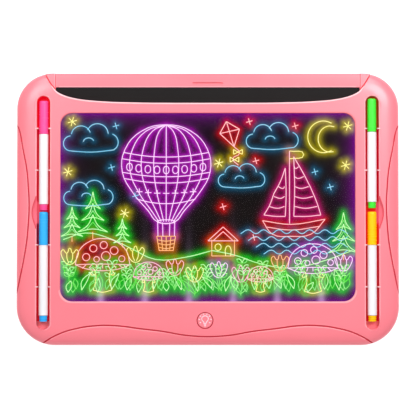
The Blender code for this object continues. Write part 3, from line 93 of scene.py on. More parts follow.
@dataclass(frozen=True)
class BoardSizes:
    """Sizes and heights that the sub-assemblies share."""

    half_width: float = 0.1750
    half_height: float = 0.1245
    top_corner: float = 0.0325
    bottom_corner: float = 0.0353
    corner_steps: int = 22
    back: float = 0.0015
    split: float = 0.0105
    seam: float = 0.0003
    face: float = 0.0235
    above: float = 0.03
    bezel: float = 0.0020
    wall: float = 0.0020
    screen_half: Plan = (0.1346, 0.0860)
    screen_middle: Plan = (0.0, 0.0016)
    screen_corner: float = 0.0110
    slot_x: float = 0.15025
    slot_half: float = 0.00605
    slot_low: float = -0.1102
    slot_high: float = 0.1033
    slot_floor: float = 0.0149
    notch_y: float = -0.0032
    notch_half: float = 0.0142
    notch_bulge: float = 0.0037
    arc_y: float = 0.09705
    arc_half: float = 0.1503
    card_top: float = 0.1118
    channel_half: float = 0.1398
    rail: float = 0.0168
    guide: float = 0.0179
    panel_low: float = 0.0182
    panel_high: float = 0.0212
    button: Plan = (-0.0025, -0.1017)
    button_radius: float = 0.0069
    stand_pivot: float = -0.0060
    stand_end: float = -0.1100
    stand_axis: float = 0.0039
    bay_y: float = 0.0320
    bay_half: Plan = (0.02685, 0.01685)
    screw_hole: float = 0.00155

    @property
    def front_low(self) -> float:
        """The lower edge of the front moulding."""
        return self.split + self.seam

    @property
    def under_face(self) -> float:
        """A height inside the bezel's thickness."""
        return self.face - self.bezel / 2

    @property
    def slot_middle(self) -> float:
        """The middle of a pen slot along Y."""
        return (self.slot_low + self.slot_high) / 2

    @property
    def slot_reach(self) -> float:
        """Half the length of a pen slot."""
        return (self.slot_high - self.slot_low) / 2


SIZES = BoardSizes()

ARC_SHARES = (
    (0.0, 0.0), (0.25, 0.001), (0.413, 0.010), (0.659, 0.058), (0.782, 0.126), (0.843, 0.197),
    (0.880, 0.265), (0.917, 0.374), (0.939, 0.500), (0.9624, 0.656), (0.979, 0.803), (1.0, 1.0),
)
BEYOND_TOP: Plan = (0, 0.05)


def arc_points(across: float = 1.0, up: float = 0.0) -> list[Plan]:
    """The smile-shaped line above the screen, from left to right.

    Args:
        across: a scale along X.
        up: a shift along Y.

    Returns:
        The places that the line passes.
    """
    rise = SIZES.half_height - SIZES.arc_y
    right = [(x * SIZES.arc_half, SIZES.arc_y + y * rise) for x, y in ARC_SHARES]
    return [(x * across, y + up) for x, y in [(-x, y) for x, y in right[:0:-1]] + right]


# Modelling bench


class Pick(Enum):
    """What a selection is made of."""

    VERTS = "VERT"
    EDGES = "EDGE"
    FACES = "FACE"


@dataclass
class Stroke:
    """One line: the places that it passes and whether it closes."""

    points: Sequence[Place]
    closed: bool = False


def take_none() -> None:
    """Leaves nothing selected, in object mode."""
    if bpy.context.mode != "OBJECT":
        bpy.ops.object.mode_set(mode="OBJECT")
    bpy.ops.object.select_all(action="DESELECT")


def take(piece: Piece) -> None:
    """Leaves one piece selected and active."""
    take_none()
    piece.select_set(True)
    bpy.context.view_layer.objects.active = piece


def settle(piece: Piece) -> Piece:
    """Puts a piece's place, turn and scale into its mesh.

    Args:
        piece: the object to settle.

    Returns:
        The same object, now at the origin.
    """
    take(piece)
    bpy.ops.object.transform_apply(location=True, rotation=True, scale=True)
    return piece


def modify(piece: Piece, kind: str, **settings: object) -> None:
    """Adds a modifier to a piece and applies it.

    Args:
        piece: the piece that changes.
        kind: the modifier's type.
        settings: its values by name.
    """
    take(piece)
    modifier = piece.modifiers.new(kind.title(), kind)
    for name, value in settings.items():
        setattr(modifier, name, value)
    bpy.ops.object.modifier_apply(modifier=modifier.name)


def passes(element: Element, test: Test, sharp: float) -> bool:
    """Whether a test holds for a part of a mesh.

    Args:
        element: a vertex, an edge or a face.
        test: takes a vertex's place, an edge's two ends, or a face's middle and normal.
        sharp: the least angle between an edge's two faces, in degrees.

    Returns:
        The test's answer.
    """
    if isinstance(element, bmesh.types.BMVert):
        return test(element.co)
    if isinstance(element, bmesh.types.BMFace):
        return test(element.calc_center_median(), element.normal)
    joins = len(element.link_faces) == 2 and element.calc_face_angle(0) >= math.radians(sharp)
    return joins and test(element.verts[0].co, element.verts[1].co)


@contextmanager
def editing(
    piece: Piece, pick: Pick = Pick.FACES, test: Test | None = None, sharp: float = 0.0
) -> Iterator[int]:
    """Edit mode on one piece, with all of it selected, or what passes a test.

    Args:
        piece: the object to edit.
        pick: what the selection is made of.
        test: the test, as passes() takes it.
        sharp: the least angle between a selected edge's two faces, in degrees.

    Yields:
        How many elements passed the test.
    """
    take(piece)
    bpy.ops.object.mode_set(mode="EDIT")
    bpy.ops.mesh.select_mode(type=pick.value)
    bpy.ops.mesh.select_all(action="DESELECT" if test else "SELECT")
    found = 0
    if test:
        shape = bmesh.from_edit_mesh(piece.data)
        for element in getattr(shape, pick.name.lower()):
            if passes(element, test, sharp):
                element.select_set(True)
                found += 1
        shape.select_flush_mode()
        bmesh.update_edit_mesh(piece.data)
    yield found
    bpy.ops.object.mode_set(mode="OBJECT")


def upright(a: Vector, b: Vector) -> bool:
    """Whether an edge runs along Z."""
    return abs(a.x - b.x) < TINY and abs(a.y - b.y) < TINY


def level_at(height: float) -> Test:
    """A test for edges that lie at a height."""
    return lambda a, b: abs(a.z - height) < TINY and abs(b.z - height) < TINY


def flat_at(height: float, way: int) -> Test:
    """A test for faces that lie flat at a height and look up, with way 1, or down, with way -1."""
    return lambda at, normal: normal.z * way > FLAT and abs(at.z - height) < TINY


def raise_by(rise: float) -> None:
    """Extrudes along Z what is selected in edit mode."""
    bpy.ops.mesh.extrude_region_move(TRANSFORM_OT_translate={"value": (0, 0, rise)})


def face_outwards() -> None:
    """Turns all faces outwards, in edit mode."""
    bpy.ops.mesh.select_all(action="SELECT")
    bpy.ops.mesh.normals_make_consistent(inside=False)


def bevel(piece: Piece, test: Test, width: float, segments: int = 3, sharp: float = 0.0) -> None:
    """Rounds the edges of a piece that pass a test.

    Args:
        piece: the object to round.
        test: takes an edge's two ends.
        width: how far the rounding reaches.
        segments: how many steps it has.
        sharp: the least angle between an edge's faces, in degrees.
    """
    with editing(piece, Pick.EDGES, test, sharp) as found:
        if found:
            bpy.ops.mesh.bevel(offset=width, segments=segments, profile=0.5, affect="EDGES")


def block(name: str, low: Place, high: Place) -> Piece:
    """A rectangular solid between two corners.

    Args:
        name: the object's name.
        low: its lowest corner.
        high: its highest corner.

    Returns:
        The new object.
    """
    middle = [(a + b) / 2 for a, b in zip(low, high)]
    size = [b - a for a, b in zip(low, high)]
    take_none()
    bpy.ops.mesh.primitive_cube_add(size=1, location=middle, scale=size)
    piece = bpy.context.active_object
    piece.name = name
    return settle(piece)


def slab(
    name: str, middle: Plan, half: Plan, low: float, high: float, corner: float, segments: int = 10
) -> Piece:
    """A rectangular solid with round upright corners.

    Args:
        name: the object's name.
        middle: its middle in plan.
        half: its half sizes in plan.
        low: its lower height.
        high: its upper height.
        corner: the radius of its corners.
        segments: the steps of a corner.

    Returns:
        The new object.
    """
    (x, y), (wide, tall) = middle, half
    piece = block(name, (x - wide, y - tall, low), (x + wide, y + tall, high))
    bevel(piece, upright, min(corner, min(half) - TINY), segments)
    with editing(piece, Pick.VERTS):
        bpy.ops.mesh.remove_doubles(threshold=TINY * 3)
    return piece


def case_blank(name: str, low: float, high: float) -> Piece:
    """A solid with the board's outline.

    Args:
        name: the object's name.
        low: its lower height.
        high: its upper height.

    Returns:
        The new object.
    """
    wide, tall = SIZES.half_width, SIZES.half_height
    piece = block(name, (-wide, -tall, low), (wide, tall, high))
    bevel(piece, lambda a, b: upright(a, b) and a.y > 0, SIZES.top_corner, SIZES.corner_steps)
    bevel(piece, lambda a, b: upright(a, b) and a.y < -tall / 2, SIZES.bottom_corner, SIZES.corner_steps)
    return piece


def flare(piece: Piece, middle: Plan, half: Plan, steps: Sequence[Plan]) -> None:
    """Extrudes a cutter's top face upwards and outwards, so that it rounds the rim that it cuts.

    Args:
        piece: the cutter.
        middle: its middle in plan.
        half: its half sizes in plan.
        steps: for each step, the rise from the last one and the whole outward reach.
    """
    top = max(vertex.co.z for vertex in piece.data.vertices)
    with editing(piece, test=flat_at(top, 1)):
        reach = 0.0
        for rise, out in steps:
            raise_by(rise)
            across = (half[0] + out) / (half[0] + reach)
            along = (half[1] + out) / (half[1] + reach)
            bpy.ops.transform.resize(value=(across, along, 1), center_override=(middle[0], middle[1], 0))
            reach = out


def rim_steps(width: float, depth: float, count: int = 4) -> list[Plan]:
    """The steps of a rounded rim for flare().

    Args:
        width: how far the rim reaches outwards at the face.
        depth: how far it reaches below the face.
        count: the steps of the rounding.

    Returns:
        Pairs of rise and whole reach.
    """
    steps = []
    height = 0.0
    for index in range(1, count + 1):
        angle = math.pi / 2 * index / count
        rise = depth * math.sin(angle)
        steps.append((rise - height, width * (1 - math.cos(angle))))
        height = rise
    return steps + [(PAST, width)]


def turned(
    name: str, profile: Sequence[Plan], start: Place, lean: Place = (0, 0, 0), sides: int = 48
) -> Piece:
    """A round solid, made from a disc by extruding and scaling its top.

    Args:
        name: the object's name.
        profile: pairs of radius and height, from the base upwards.
        start: where the base's middle lies.
        lean: the turn of the finished piece, as XYZ angles in degrees.
        sides: the sides of its circles.

    Returns:
        The new object.
    """
    take_none()
    radius, height = profile[0]
    bpy.ops.mesh.primitive_circle_add(vertices=sides, radius=radius, fill_type="NGON", location=(0, 0, height))
    piece = settle(bpy.context.active_object)
    piece.name = name
    with editing(piece):
        for wide, high in profile[1:]:
            raise_by(high - height)
            scale = wide / radius
            bpy.ops.transform.resize(value=(scale, scale, 1), center_override=(0, 0, 0))
            radius, height = wide, high
        face_outwards()
    piece.rotation_euler = [math.radians(angle) for angle in lean]
    piece.location = start
    return settle(piece)


def splines(name: str, lines: Sequence[Stroke], steps: int) -> Piece:
    """A curve with a smooth spline for each line.

    Args:
        name: the object's name.
        lines: the lines.
        steps: the steps between two places.

    Returns:
        The new curve object.
    """
    take_none()
    bpy.ops.curve.primitive_bezier_curve_add(location=(0, 0, 0))
    piece = bpy.context.active_object
    piece.name = name
    curve = piece.data
    curve.splines.clear()
    for line in lines:
        spline = curve.splines.new("BEZIER")
        spline.bezier_points.add(len(line.points) - 1)
        for knot, place in zip(spline.bezier_points, line.points):
            knot.co = place
            knot.handle_left_type = knot.handle_right_type = "AUTO"
        spline.use_cyclic_u = line.closed
        spline.resolution_u = steps
    curve.dimensions = "3D"
    return piece


def meshed(piece: Piece) -> Piece:
    """A curve object, made a mesh."""
    take(piece)
    bpy.ops.object.convert(target="MESH")
    return bpy.context.active_object


def strokes(name: str, lines: Sequence[Stroke], radius: float, rounds: int = 3, flat: float = 1.0) -> Piece:
    """Round bars along smooth lines, as one mesh.

    Args:
        name: the object's name.
        lines: the lines.
        radius: the bars' radius.
        rounds: the bevel resolution of the bars.
        flat: the share of their height that the bars keep, measured from the lines' height.

    Returns:
        The new mesh object.
    """
    piece = splines(name, lines, 4)
    piece.data.bevel_depth = radius
    piece.data.bevel_resolution = rounds
    piece.data.use_fill_caps = True
    piece = meshed(piece)
    if flat != 1.0:
        with editing(piece, Pick.VERTS):
            level = lines[0].points[0][2]
            bpy.ops.transform.resize(value=(1, 1, flat), center_override=(0, 0, level))
        bpy.ops.object.shade_smooth()
    return piece


def plan_line(name: str, points: Sequence[Plan], height: float) -> Piece:
    """A mesh of edges along a smooth line at one height."""
    return meshed(splines(name, [Stroke([(x, y, height) for x, y in points])], 6))


def prism(name: str, points: Sequence[Plan], low: float, high: float, push: Plan) -> Piece:
    """The solid between a smooth plan line and a copy of it that is pushed aside.

    Args:
        name: the object's name.
        points: the places that the line passes, in plan.
        low: the solid's lower height.
        high: its upper height.
        push: how far the copy is pushed, in plan.

    Returns:
        The new object.
    """
    piece = plan_line(name, points, low)
    with editing(piece, Pick.EDGES):
        bpy.ops.mesh.extrude_edges_move(TRANSFORM_OT_translate={"value": (*push, 0)})
        bpy.ops.mesh.select_all(action="SELECT")
        raise_by(high - low)
        face_outwards()
    return piece


def combine(piece: Piece, tools: Sequence[Piece], operation: str) -> None:
    """Cuts or joins a piece with helper solids, which are used up.

    Args:
        piece: the piece that changes.
        tools: the helper solids.
        operation: DIFFERENCE, UNION or INTERSECT.
    """
    for tool in tools:
        if piece.data.materials and not tool.data.materials:
            tool.data.materials.append(piece.data.materials[0])
        modify(piece, "BOOLEAN", operation=operation, object=tool, solver="EXACT", material_mode="TRANSFER")
        bpy.data.objects.remove(tool, do_unlink=True)


def cut(piece: Piece, *tools: Piece) -> None:
    """Takes helper solids away from a piece."""
    combine(piece, tools, "DIFFERENCE")


def fuse(piece: Piece, *tools: Piece) -> None:
    """Adds helper solids to a piece."""
    combine(piece, tools, "UNION")


def paint(piece: Piece, finish: "Finish", test: Test) -> None:
    """Gives some faces of a piece another finish.

    Args:
        piece: the piece, which has a finish already.
        finish: the other finish.
        test: takes a face's middle and normal.
    """
    piece.data.materials.append(finish.build())
    index = len(piece.data.materials) - 1
    for face in piece.data.polygons:
        if test(face.center, face.normal):
            face.material_index = index


def finish_faces(piece: Piece, angle: float = 38.0) -> Piece:
    """Shades a piece smoothly, with its large faces kept flat.

    Args:
        piece: the piece to shade.
        angle: edges sharper than this stay sharp, in degrees.

    Returns:
        The same piece.
    """
    take(piece)
    bpy.ops.object.shade_smooth_by_angle(angle=math.radians(angle))
    modify(piece, "WEIGHTED_NORMAL", keep_sharp=True)
    return piece


def keep(piece: Piece, body: str, slot: str, *nodes: str) -> None:
    """Hands a finished piece to the frame.

    Args:
        piece: the finished piece.
        body: the body that it rides on.
        slot: the record's material slot; not used.
        nodes: the frame's nodes that it stands for.
    """
    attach(piece, body)
    if nodes:
        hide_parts(*nodes)
    LOG.info("%s: %d faces on %s", piece.name, len(piece.data.polygons), body)


# Shader wiring and groups


@dataclass
class Wiring:
    """Builds one node tree. A value is a number, a colour or another node's output."""

    tree: bpy.types.NodeTree

    def feed(self, sockets: Sequence[Socket], values: Sequence[Value]) -> None:
        """Links sockets or sets them, whichever their values ask for.

        Args:
            sockets: the input sockets.
            values: a value for each.
        """
        for socket, value in zip(sockets, values):
            if isinstance(value, Socket):
                self.tree.links.new(value, socket)
            elif socket.type == "RGBA":
                socket.default_value = (*value, 1.0)
            else:
                socket.default_value = value

    def fill(self, node: bpy.types.Node, inputs: dict[str, Value]) -> bpy.types.Node:
        """Feeds a node by its inputs' names, with underscores for spaces, and gives it back."""
        self.feed([node.inputs[name.replace("_", " ")] for name in inputs], list(inputs.values()))
        return node

    def node(self, kind: str, **inputs: Value) -> bpy.types.Node:
        """A new node of one kind, fed by name."""
        return self.fill(self.tree.nodes.new("ShaderNode" + kind), inputs)

    def group(self, group: bpy.types.NodeTree, **inputs: Value) -> bpy.types.bpy_prop_collection:
        """The outputs of a shader group that is placed in the tree.

        Args:
            group: the group.
            inputs: its input values by name.

        Returns:
            The output sockets.
        """
        node = self.tree.nodes.new("ShaderNodeGroup")
        node.node_tree = group
        return self.fill(node, inputs).outputs

    def surface(self, **inputs: Value) -> None:
        """Feeds the material's Principled shader by name."""
        self.fill(self.tree.nodes["Principled BSDF"], inputs)

    def math(self, operation: str, *values: Value, clamp: bool = False) -> Socket:
        """One Math node.

        Args:
            operation: what it does.
            values: one to three values.
            clamp: whether the result stays from 0 to 1.

        Returns:
            The result.
        """
        node = self.node("Math")
        node.operation = operation
        node.use_clamp = clamp
        self.feed(node.inputs, values)
        return node.outputs[0]

    def mix(self, share: Value, low: Value, high: Value, blend: str = "MIX") -> Socket:
        """A colour between two, or one added to the other.

        Args:
            share: how much of the second colour counts.
            low: the first colour.
            high: the second colour.
            blend: MIX or ADD.

        Returns:
            The colour.
        """
        node = self.node("Mix")
        node.data_type = "RGBA"
        node.blend_type = blend
        self.feed([node.inputs[name] for name in ("Factor", "A", "B")], (share, low, high))
        return node.outputs["Result"]

    def share(self, value: Socket, low: float, high: float) -> Socket:
        """How far a value lies from low to high, from 0 to 1."""
        return self.node("MapRange", Value=value, From_Min=low, From_Max=high).outputs["Result"]

    def bump(self, height: Socket, depth: float, strength: float) -> Socket:
        """A normal from a height that is depth metres deep where it is 1."""
        return self.node("Bump", Height=height, Distance=depth, Strength=strength).outputs["Normal"]

    def place(self) -> Socket:
        """The place on the piece."""
        return self.node("TexCoord").outputs["Object"]

    def axes(self) -> Sequence[Socket]:
        """The place's X, Y and Z."""
        return self.node("SeparateXYZ", Vector=self.place()).outputs


def new_group(
    name: str, inputs: dict[str, float], outputs: Sequence[str]
) -> tuple[Wiring, bpy.types.bpy_prop_collection, Callable[..., None]]:
    """An empty shader group.

    Args:
        name: the group's name.
        inputs: its inputs and their own values.
        outputs: its outputs.

    Returns:
        Its wiring, the sockets of its inputs, and a function that takes the value of each output.
    """
    tree = bpy.data.node_groups.new(name, "ShaderNodeTree")
    for title, value in inputs.items():
        tree.interface.new_socket(title, in_out="INPUT", socket_type="NodeSocketFloat").default_value = value
    for title in outputs:
        tree.interface.new_socket(title, in_out="OUTPUT", socket_type="NodeSocketFloat")
    wiring = Wiring(tree)
    enter, leave = tree.nodes.new("NodeGroupInput"), tree.nodes.new("NodeGroupOutput")
    return wiring, enter.outputs, lambda *values: wiring.feed(leave.inputs, values)


@cache
def moulded_grain() -> bpy.types.NodeTree:
    """Fine moulded texture: a height for bumps, a roughness and a tint mask.

    Returns:
        The group.
    """
    inputs = {"Fine Scale": 1800.0, "Broad Scale": 22.0, "Roughness": 0.4, "Spread": 0.10}
    wiring, given, give = new_group("moulded_grain", inputs, ("Height", "Roughness", "Tint"))
    place = wiring.place()
    fine = wiring.node("TexNoise", Vector=place, Scale=given["Fine Scale"], Detail=3.0).outputs["Fac"]
    broad = wiring.node("TexNoise", Vector=place, Scale=given["Broad Scale"], Detail=5.0).outputs["Fac"]
    centred = wiring.math("SUBTRACT", broad, 0.5)
    give(fine, wiring.math("MULTIPLY_ADD", centred, given["Spread"], given["Roughness"]), broad)
    return wiring.tree


@cache
def handling_marks() -> bpy.types.NodeTree:
    """Faint scuffs from use: a mask of thin stretched noise.

    Returns:
        The group.
    """
    wiring, given, give = new_group("handling_marks", {"Scale": 55.0, "Amount": 0.3}, ("Mask",))
    stretch = wiring.node("Mapping", Vector=wiring.place(), Rotation=(0.0, 0.0, 0.6), Scale=(1.0, 14.0, 1.0))
    noise = wiring.node("TexNoise", Vector=stretch.outputs["Vector"], Scale=given["Scale"], Detail=6.0)
    give(wiring.math("MULTIPLY", wiring.share(noise.outputs["Fac"], 0.60, 0.82), given["Amount"]))
    return wiring.tree


@cache
def frame_light() -> bpy.types.NodeTree:
    """Light that enters a panel at its four edges, and one beam from each lamp at the lower edge.

    Returns:
        The group.
    """
    names = ("Half Width", "Half Height", "Middle", "Reach", "Lamp Pitch", "Lamp Shift", "Beam Reach")
    wiring, given, give = new_group("frame_light", dict.fromkeys(names, 1.0), ("Edge", "Beam"))
    math_of = wiring.math
    x, y, _ = wiring.axes()
    from_side = math_of("SUBTRACT", given["Half Width"], math_of("ABSOLUTE", x))
    up = math_of("SUBTRACT", y, given["Middle"])
    from_end = math_of("SUBTRACT", given["Half Height"], math_of("ABSOLUTE", up))
    nearest = math_of("SMOOTH_MIN", from_side, from_end, 0.004)
    edge = math_of("POWER", LEFT_IN_REACH, math_of("DIVIDE", nearest, given["Reach"]))
    turn = math_of("DIVIDE", math_of("SUBTRACT", x, given["Lamp Shift"]), given["Lamp Pitch"])
    wave = math_of("COSINE", math_of("MULTIPLY", turn, math.tau))
    narrow = math_of("POWER", math_of("MULTIPLY_ADD", wave, 0.5, 0.5), 14.0)
    above = math_of("ADD", up, given["Half Height"])
    fade = math_of("POWER", LEFT_IN_REACH, math_of("DIVIDE", above, given["Beam Reach"]))
    give(edge, math_of("MULTIPLY", narrow, fade))
    return wiring.tree


# Finishes


def shade(color: Color, by: float) -> Color:
    """A colour made darker or lighter by a factor."""
    return tuple(min(1.0, part * by) for part in color)


@dataclass(frozen=True)
class Finish:
    """What a surface is made of. Subclasses add their own nodes."""

    name: str
    color: Color
    roughness: float = 0.4

    def build(self) -> bpy.types.Material:
        """The material, made once for each name.

        Returns:
            The material.
        """
        title = self.name + "_finish"
        found = bpy.data.materials.get(title)
        if found:
            return found
        material = bpy.data.materials.new(title)
        material.use_nodes = True
        material.diffuse_color = (*self.color, 1.0)
        wiring = Wiring(material.node_tree)
        wiring.surface(Base_Color=self.color, Roughness=self.roughness)
        self.dress(wiring)
        return material

    def dress(self, wiring: Wiring) -> None:
        """Adds the finish's own nodes to a material's wiring."""

    def tint(self, wiring: Wiring, share: Socket, low: float, high: float) -> Socket:
        """The finish's colour, darker where the share is 0 and lighter where it is 1."""
        return wiring.mix(share, shade(self.color, low), shade(self.color, high))

    def put(self, *pieces: Piece) -> None:
        """Makes this the only material of the pieces."""
        for piece in pieces:
            piece.data.materials.clear()
            piece.data.materials.append(self.build())


@dataclass(frozen=True)
class Moulded(Finish):
    """Moulded plastic with fine grain, broad tone changes and faint scuffs."""

    grain_depth: float = 0.00002
    fine_scale: float = 1800.0
    scuffs: float = 0.25
    gloss_coat: float = 0.0
    specular: float = 0.5

    def dress(self, wiring: Wiring) -> None:
        """Grain in the normal, scuffs in the roughness and soft changes in the colour."""
        grain = wiring.group(moulded_grain(), Fine_Scale=self.fine_scale, Roughness=self.roughness)
        marks = wiring.group(handling_marks(), Amount=self.scuffs)
        wiring.surface(
            Roughness=wiring.math("ADD", grain["Roughness"], marks["Mask"], clamp=True),
            Base_Color=self.tint(wiring, grain["Tint"], 0.965, 1.03),
            Normal=wiring.bump(grain["Height"], self.grain_depth, 0.5),
            Specular_IOR_Level=self.specular,
            Coat_Weight=self.gloss_coat,
            Coat_Roughness=0.12,
        )


@dataclass(frozen=True)
class PaintedSlotLight(Moulded):
    """Moulded plastic in a pen slot, with painted shade and painted light below the face: the base colour
    darkens towards painted_shade, and an emission paints the light that the pens throw back onto the walls.

    The painted light's stops are pairs: where a colour starts along Y, and the colour. The painted shade and
    light grow from glow_top down to glow_full, and beside a finger notch the painted light has a colour of its
    own, from notch_x outwards, notch_half up and down.
    """

    painted_shade: Color = (0.42, 0.004, 0.014)
    glow_top: float = 0.0227
    glow_full: float = 0.0190
    span: float = 0.125
    left: Sequence[tuple[float, Color]] = (
        (-0.1250, (0.25, 0.002, 0.006)), (-0.0329, (0.06, 0.000, 0.010)),
        (-0.0035, (0.31, 0.001, 0.010)), (0.0735, (0.46, 0.000, 0.008)),
    )
    right: Sequence[tuple[float, Color]] = (
        (-0.1250, (0.24, 0.001, 0.005)), (-0.0329, (0.44, 0.012, 0.000)),
        (0.0020, (0.26, 0.001, 0.008)), (0.0735, (0.13, 0.028, 0.000)),
    )
    notch_x: float = 0.1548
    notch_half: float = 0.0100
    notch_blend: float = 0.0012
    notch_glow: Color = (0.50, 0.070, 0.105)

    def along(self, wiring: Wiring, share: Socket, stops: Sequence[tuple[float, Color]]) -> Socket:
        """The painted light along one slot.

        Args:
            wiring: the material's wiring.
            share: how far up the span a place lies, from 0 to 1.
            stops: the painted light's stops, from the lower end up.

        Returns:
            The colour.
        """
        ramp = wiring.node("ValToRGB", Fac=share)
        ramp.color_ramp.interpolation = "CONSTANT"
        steps = ramp.color_ramp.elements
        steps.remove(steps[-1])
        for index, (start, color) in enumerate(stops):
            step = steps.new((start + self.span) / (2 * self.span)) if index else steps[0]
            step.color = (*color, 1.0)
        return ramp.outputs["Color"]

    def dress(self, wiring: Wiring) -> None:
        """The moulded finish, with painted shade and painted light from the pens below the face."""
        super().dress(wiring)
        x, y, z = wiring.axes()
        depth = wiring.share(z, self.glow_top, self.glow_full)
        up = wiring.share(y, -self.span, self.span)
        left, right = (self.along(wiring, up, stops) for stops in (self.left, self.right))
        glow = wiring.mix(wiring.math("GREATER_THAN", x, 0.0), left, right)
        blend = self.notch_blend
        out = wiring.share(wiring.math("ABSOLUTE", x), self.notch_x - blend, self.notch_x)
        away = wiring.math("ABSOLUTE", wiring.math("SUBTRACT", y, SIZES.notch_y))
        near = wiring.share(away, self.notch_half + blend, self.notch_half - blend)
        glow = wiring.mix(wiring.math("MULTIPLY", out, near), glow, self.notch_glow)
        # Painted shade in the base colour, and painted light from the pens as emission, both below the face.
        wiring.surface(
            Base_Color=wiring.mix(depth, self.color, self.painted_shade),
            Emission_Color=wiring.mix(depth, BLACK, glow),
            Emission_Strength=1.0,
        )


@dataclass(frozen=True)
class Metal(Finish):
    """Plated or drawn metal with fine scratches."""

    def dress(self, wiring: Wiring) -> None:
        """Scratches in the roughness and the normal."""
        grain = wiring.group(
            moulded_grain(), Fine_Scale=2600.0, Broad_Scale=180.0, Roughness=self.roughness, Spread=0.25
        )
        wiring.surface(
            Metallic=1.0,
            Roughness=grain["Roughness"],
            Base_Color=self.tint(wiring, grain["Tint"], 0.85, 1.08),
            Normal=wiring.bump(grain["Height"], 0.00001, 0.4),
        )


@dataclass(frozen=True)
class Circuit(Finish):
    """A circuit board: tracks under solder mask."""

    track: Color = (0.10, 0.42, 0.16)

    def dress(self, wiring: Wiring) -> None:
        """Straight tracks from a brick pattern."""
        tracks = wiring.node("TexBrick", Vector=wiring.place(), Scale=260.0, Mortar_Size=0.06).outputs["Fac"]
        wiring.surface(
            Base_Color=wiring.mix(tracks, self.color, self.track), Normal=wiring.bump(tracks, 0.00003, 0.6)
        )


@dataclass(frozen=True)
class Felt(Finish):
    """Pressed fibre, for nibs and ink reservoirs."""

    def dress(self, wiring: Wiring) -> None:
        """Loose fibre bumps and a soft sheen."""
        grain = wiring.group(moulded_grain(), Fine_Scale=4200.0, Broad_Scale=600.0)
        wiring.surface(
            Base_Color=self.tint(wiring, grain["Tint"], 0.8, 1.0),
            Sheen_Weight=0.3,
            Normal=wiring.bump(grain["Height"], 0.00006, 0.8),
        )


@dataclass(frozen=True)
class CellWrap(Finish):
    """A battery's printed film: a band of colour beside a dark body."""

    band: Color = (0.75, 0.45, 0.08)
    band_from: float = 0.010

    def dress(self, wiring: Wiring) -> None:
        """The band by the place along X."""
        grain = wiring.group(moulded_grain(), Roughness=self.roughness, Spread=0.12)
        on_band = wiring.math("GREATER_THAN", wiring.axes()[0], self.band_from)
        wiring.surface(Base_Color=wiring.mix(on_band, self.color, self.band), Roughness=grain["Roughness"])


@dataclass(frozen=True)
class Ink(Finish):
    """Marker ink that the panel's light makes glow."""

    strength: float = 0.95
    paler: float = 0.25
    body: float = 0.12

    def dress(self, wiring: Wiring) -> None:
        """Glow with small changes in strength along the line."""
        grain = wiring.group(moulded_grain(), Fine_Scale=900.0, Broad_Scale=160.0)
        pale = tuple(part + (1.0 - part) * self.paler for part in self.color)
        wiring.surface(
            Emission_Color=wiring.mix(wiring.share(grain["Tint"], 0.35, 0.65), self.color, pale),
            Emission_Strength=self.strength,
            Base_Color=shade(self.color, self.body),
        )


@dataclass(frozen=True)
class LitPanel(Finish):
    """Clear acrylic with light from its edges, its lamps and its ink."""

    lamp_pitch: float = 0.0403
    lamp_shift: float = 0.0030
    edge_reach: float = 0.0052
    beam_reach: float = 0.019
    edge_color: Color = (0.085, 0.0, 0.112)
    beam_color: Color = (0.17, 0.11, 0.19)

    def dress(self, wiring: Wiring) -> None:
        """Transmission, and the three lights added up as emission."""
        light = wiring.group(
            frame_light(),
            Half_Width=SIZES.screen_half[0],
            Half_Height=SIZES.screen_half[1],
            Middle=SIZES.screen_middle[1],
            Reach=self.edge_reach,
            Lamp_Pitch=self.lamp_pitch,
            Lamp_Shift=self.lamp_shift + self.lamp_pitch / 2,
            Beam_Reach=self.beam_reach,
        )
        edge = wiring.mix(light["Edge"], BLACK, self.edge_color)
        beam = wiring.mix(light["Beam"], BLACK, self.beam_color)
        ink = wiring.node("VertexColor")
        ink.layer_name = "ink_glow"
        wiring.surface(
            Transmission_Weight=1.0,
            IOR=1.49,
            Specular_Tint=(0.06, 0.06, 0.06),
            Emission_Color=wiring.mix(1.0, wiring.mix(1.0, edge, beam, "ADD"), ink.outputs["Color"], "ADD"),
            Emission_Strength=1.0,
        )


PINK = Moulded("shell_pink", (0.97, 0.207, 0.257), 0.30, grain_depth=0.000010, scuffs=0.10, specular=0.8)
# Painted shade and painted light from the pens, on the pen slots' walls.
SLOT_PAINTED_LIGHT = PaintedSlotLight("slot_pink", (0.97, 0.215, 0.265), 0.5, scuffs=0.0, specular=0.15)
# Painted shade in the engraved lines and on the wall of the button's hole.
GROOVE_SHADE = Moulded("groove_painted_shade", (0.60, 0.022, 0.045), 0.5, scuffs=0.0, specular=0.2)
# Painted shadow along the lands' edges and low on the channel's rims.
GAP_SHADE = Moulded("gap_painted_shade", (1.0, 0.115, 0.155), 0.5, scuffs=0.0, specular=0.2)
# A painted highlight on the rounded edge above the card and on the slots' ribs.
PAINTED_GLINT = Moulded("rim_painted_glint", (1.0, 0.56, 0.59), 0.25, scuffs=0.0)
# A painted highlight on rim lips, the card well's chamfer and beside the engraved lines.
LIP_HIGHLIGHT = Moulded("lip_painted_highlight", (1.0, 0.36, 0.41), 0.30, scuffs=0.0)
# Painted shade in the finger notches.
BOWL_SHADE = Moulded("notch_pink", (0.90, 0.150, 0.205), 0.5, scuffs=0.0, specular=0.2)
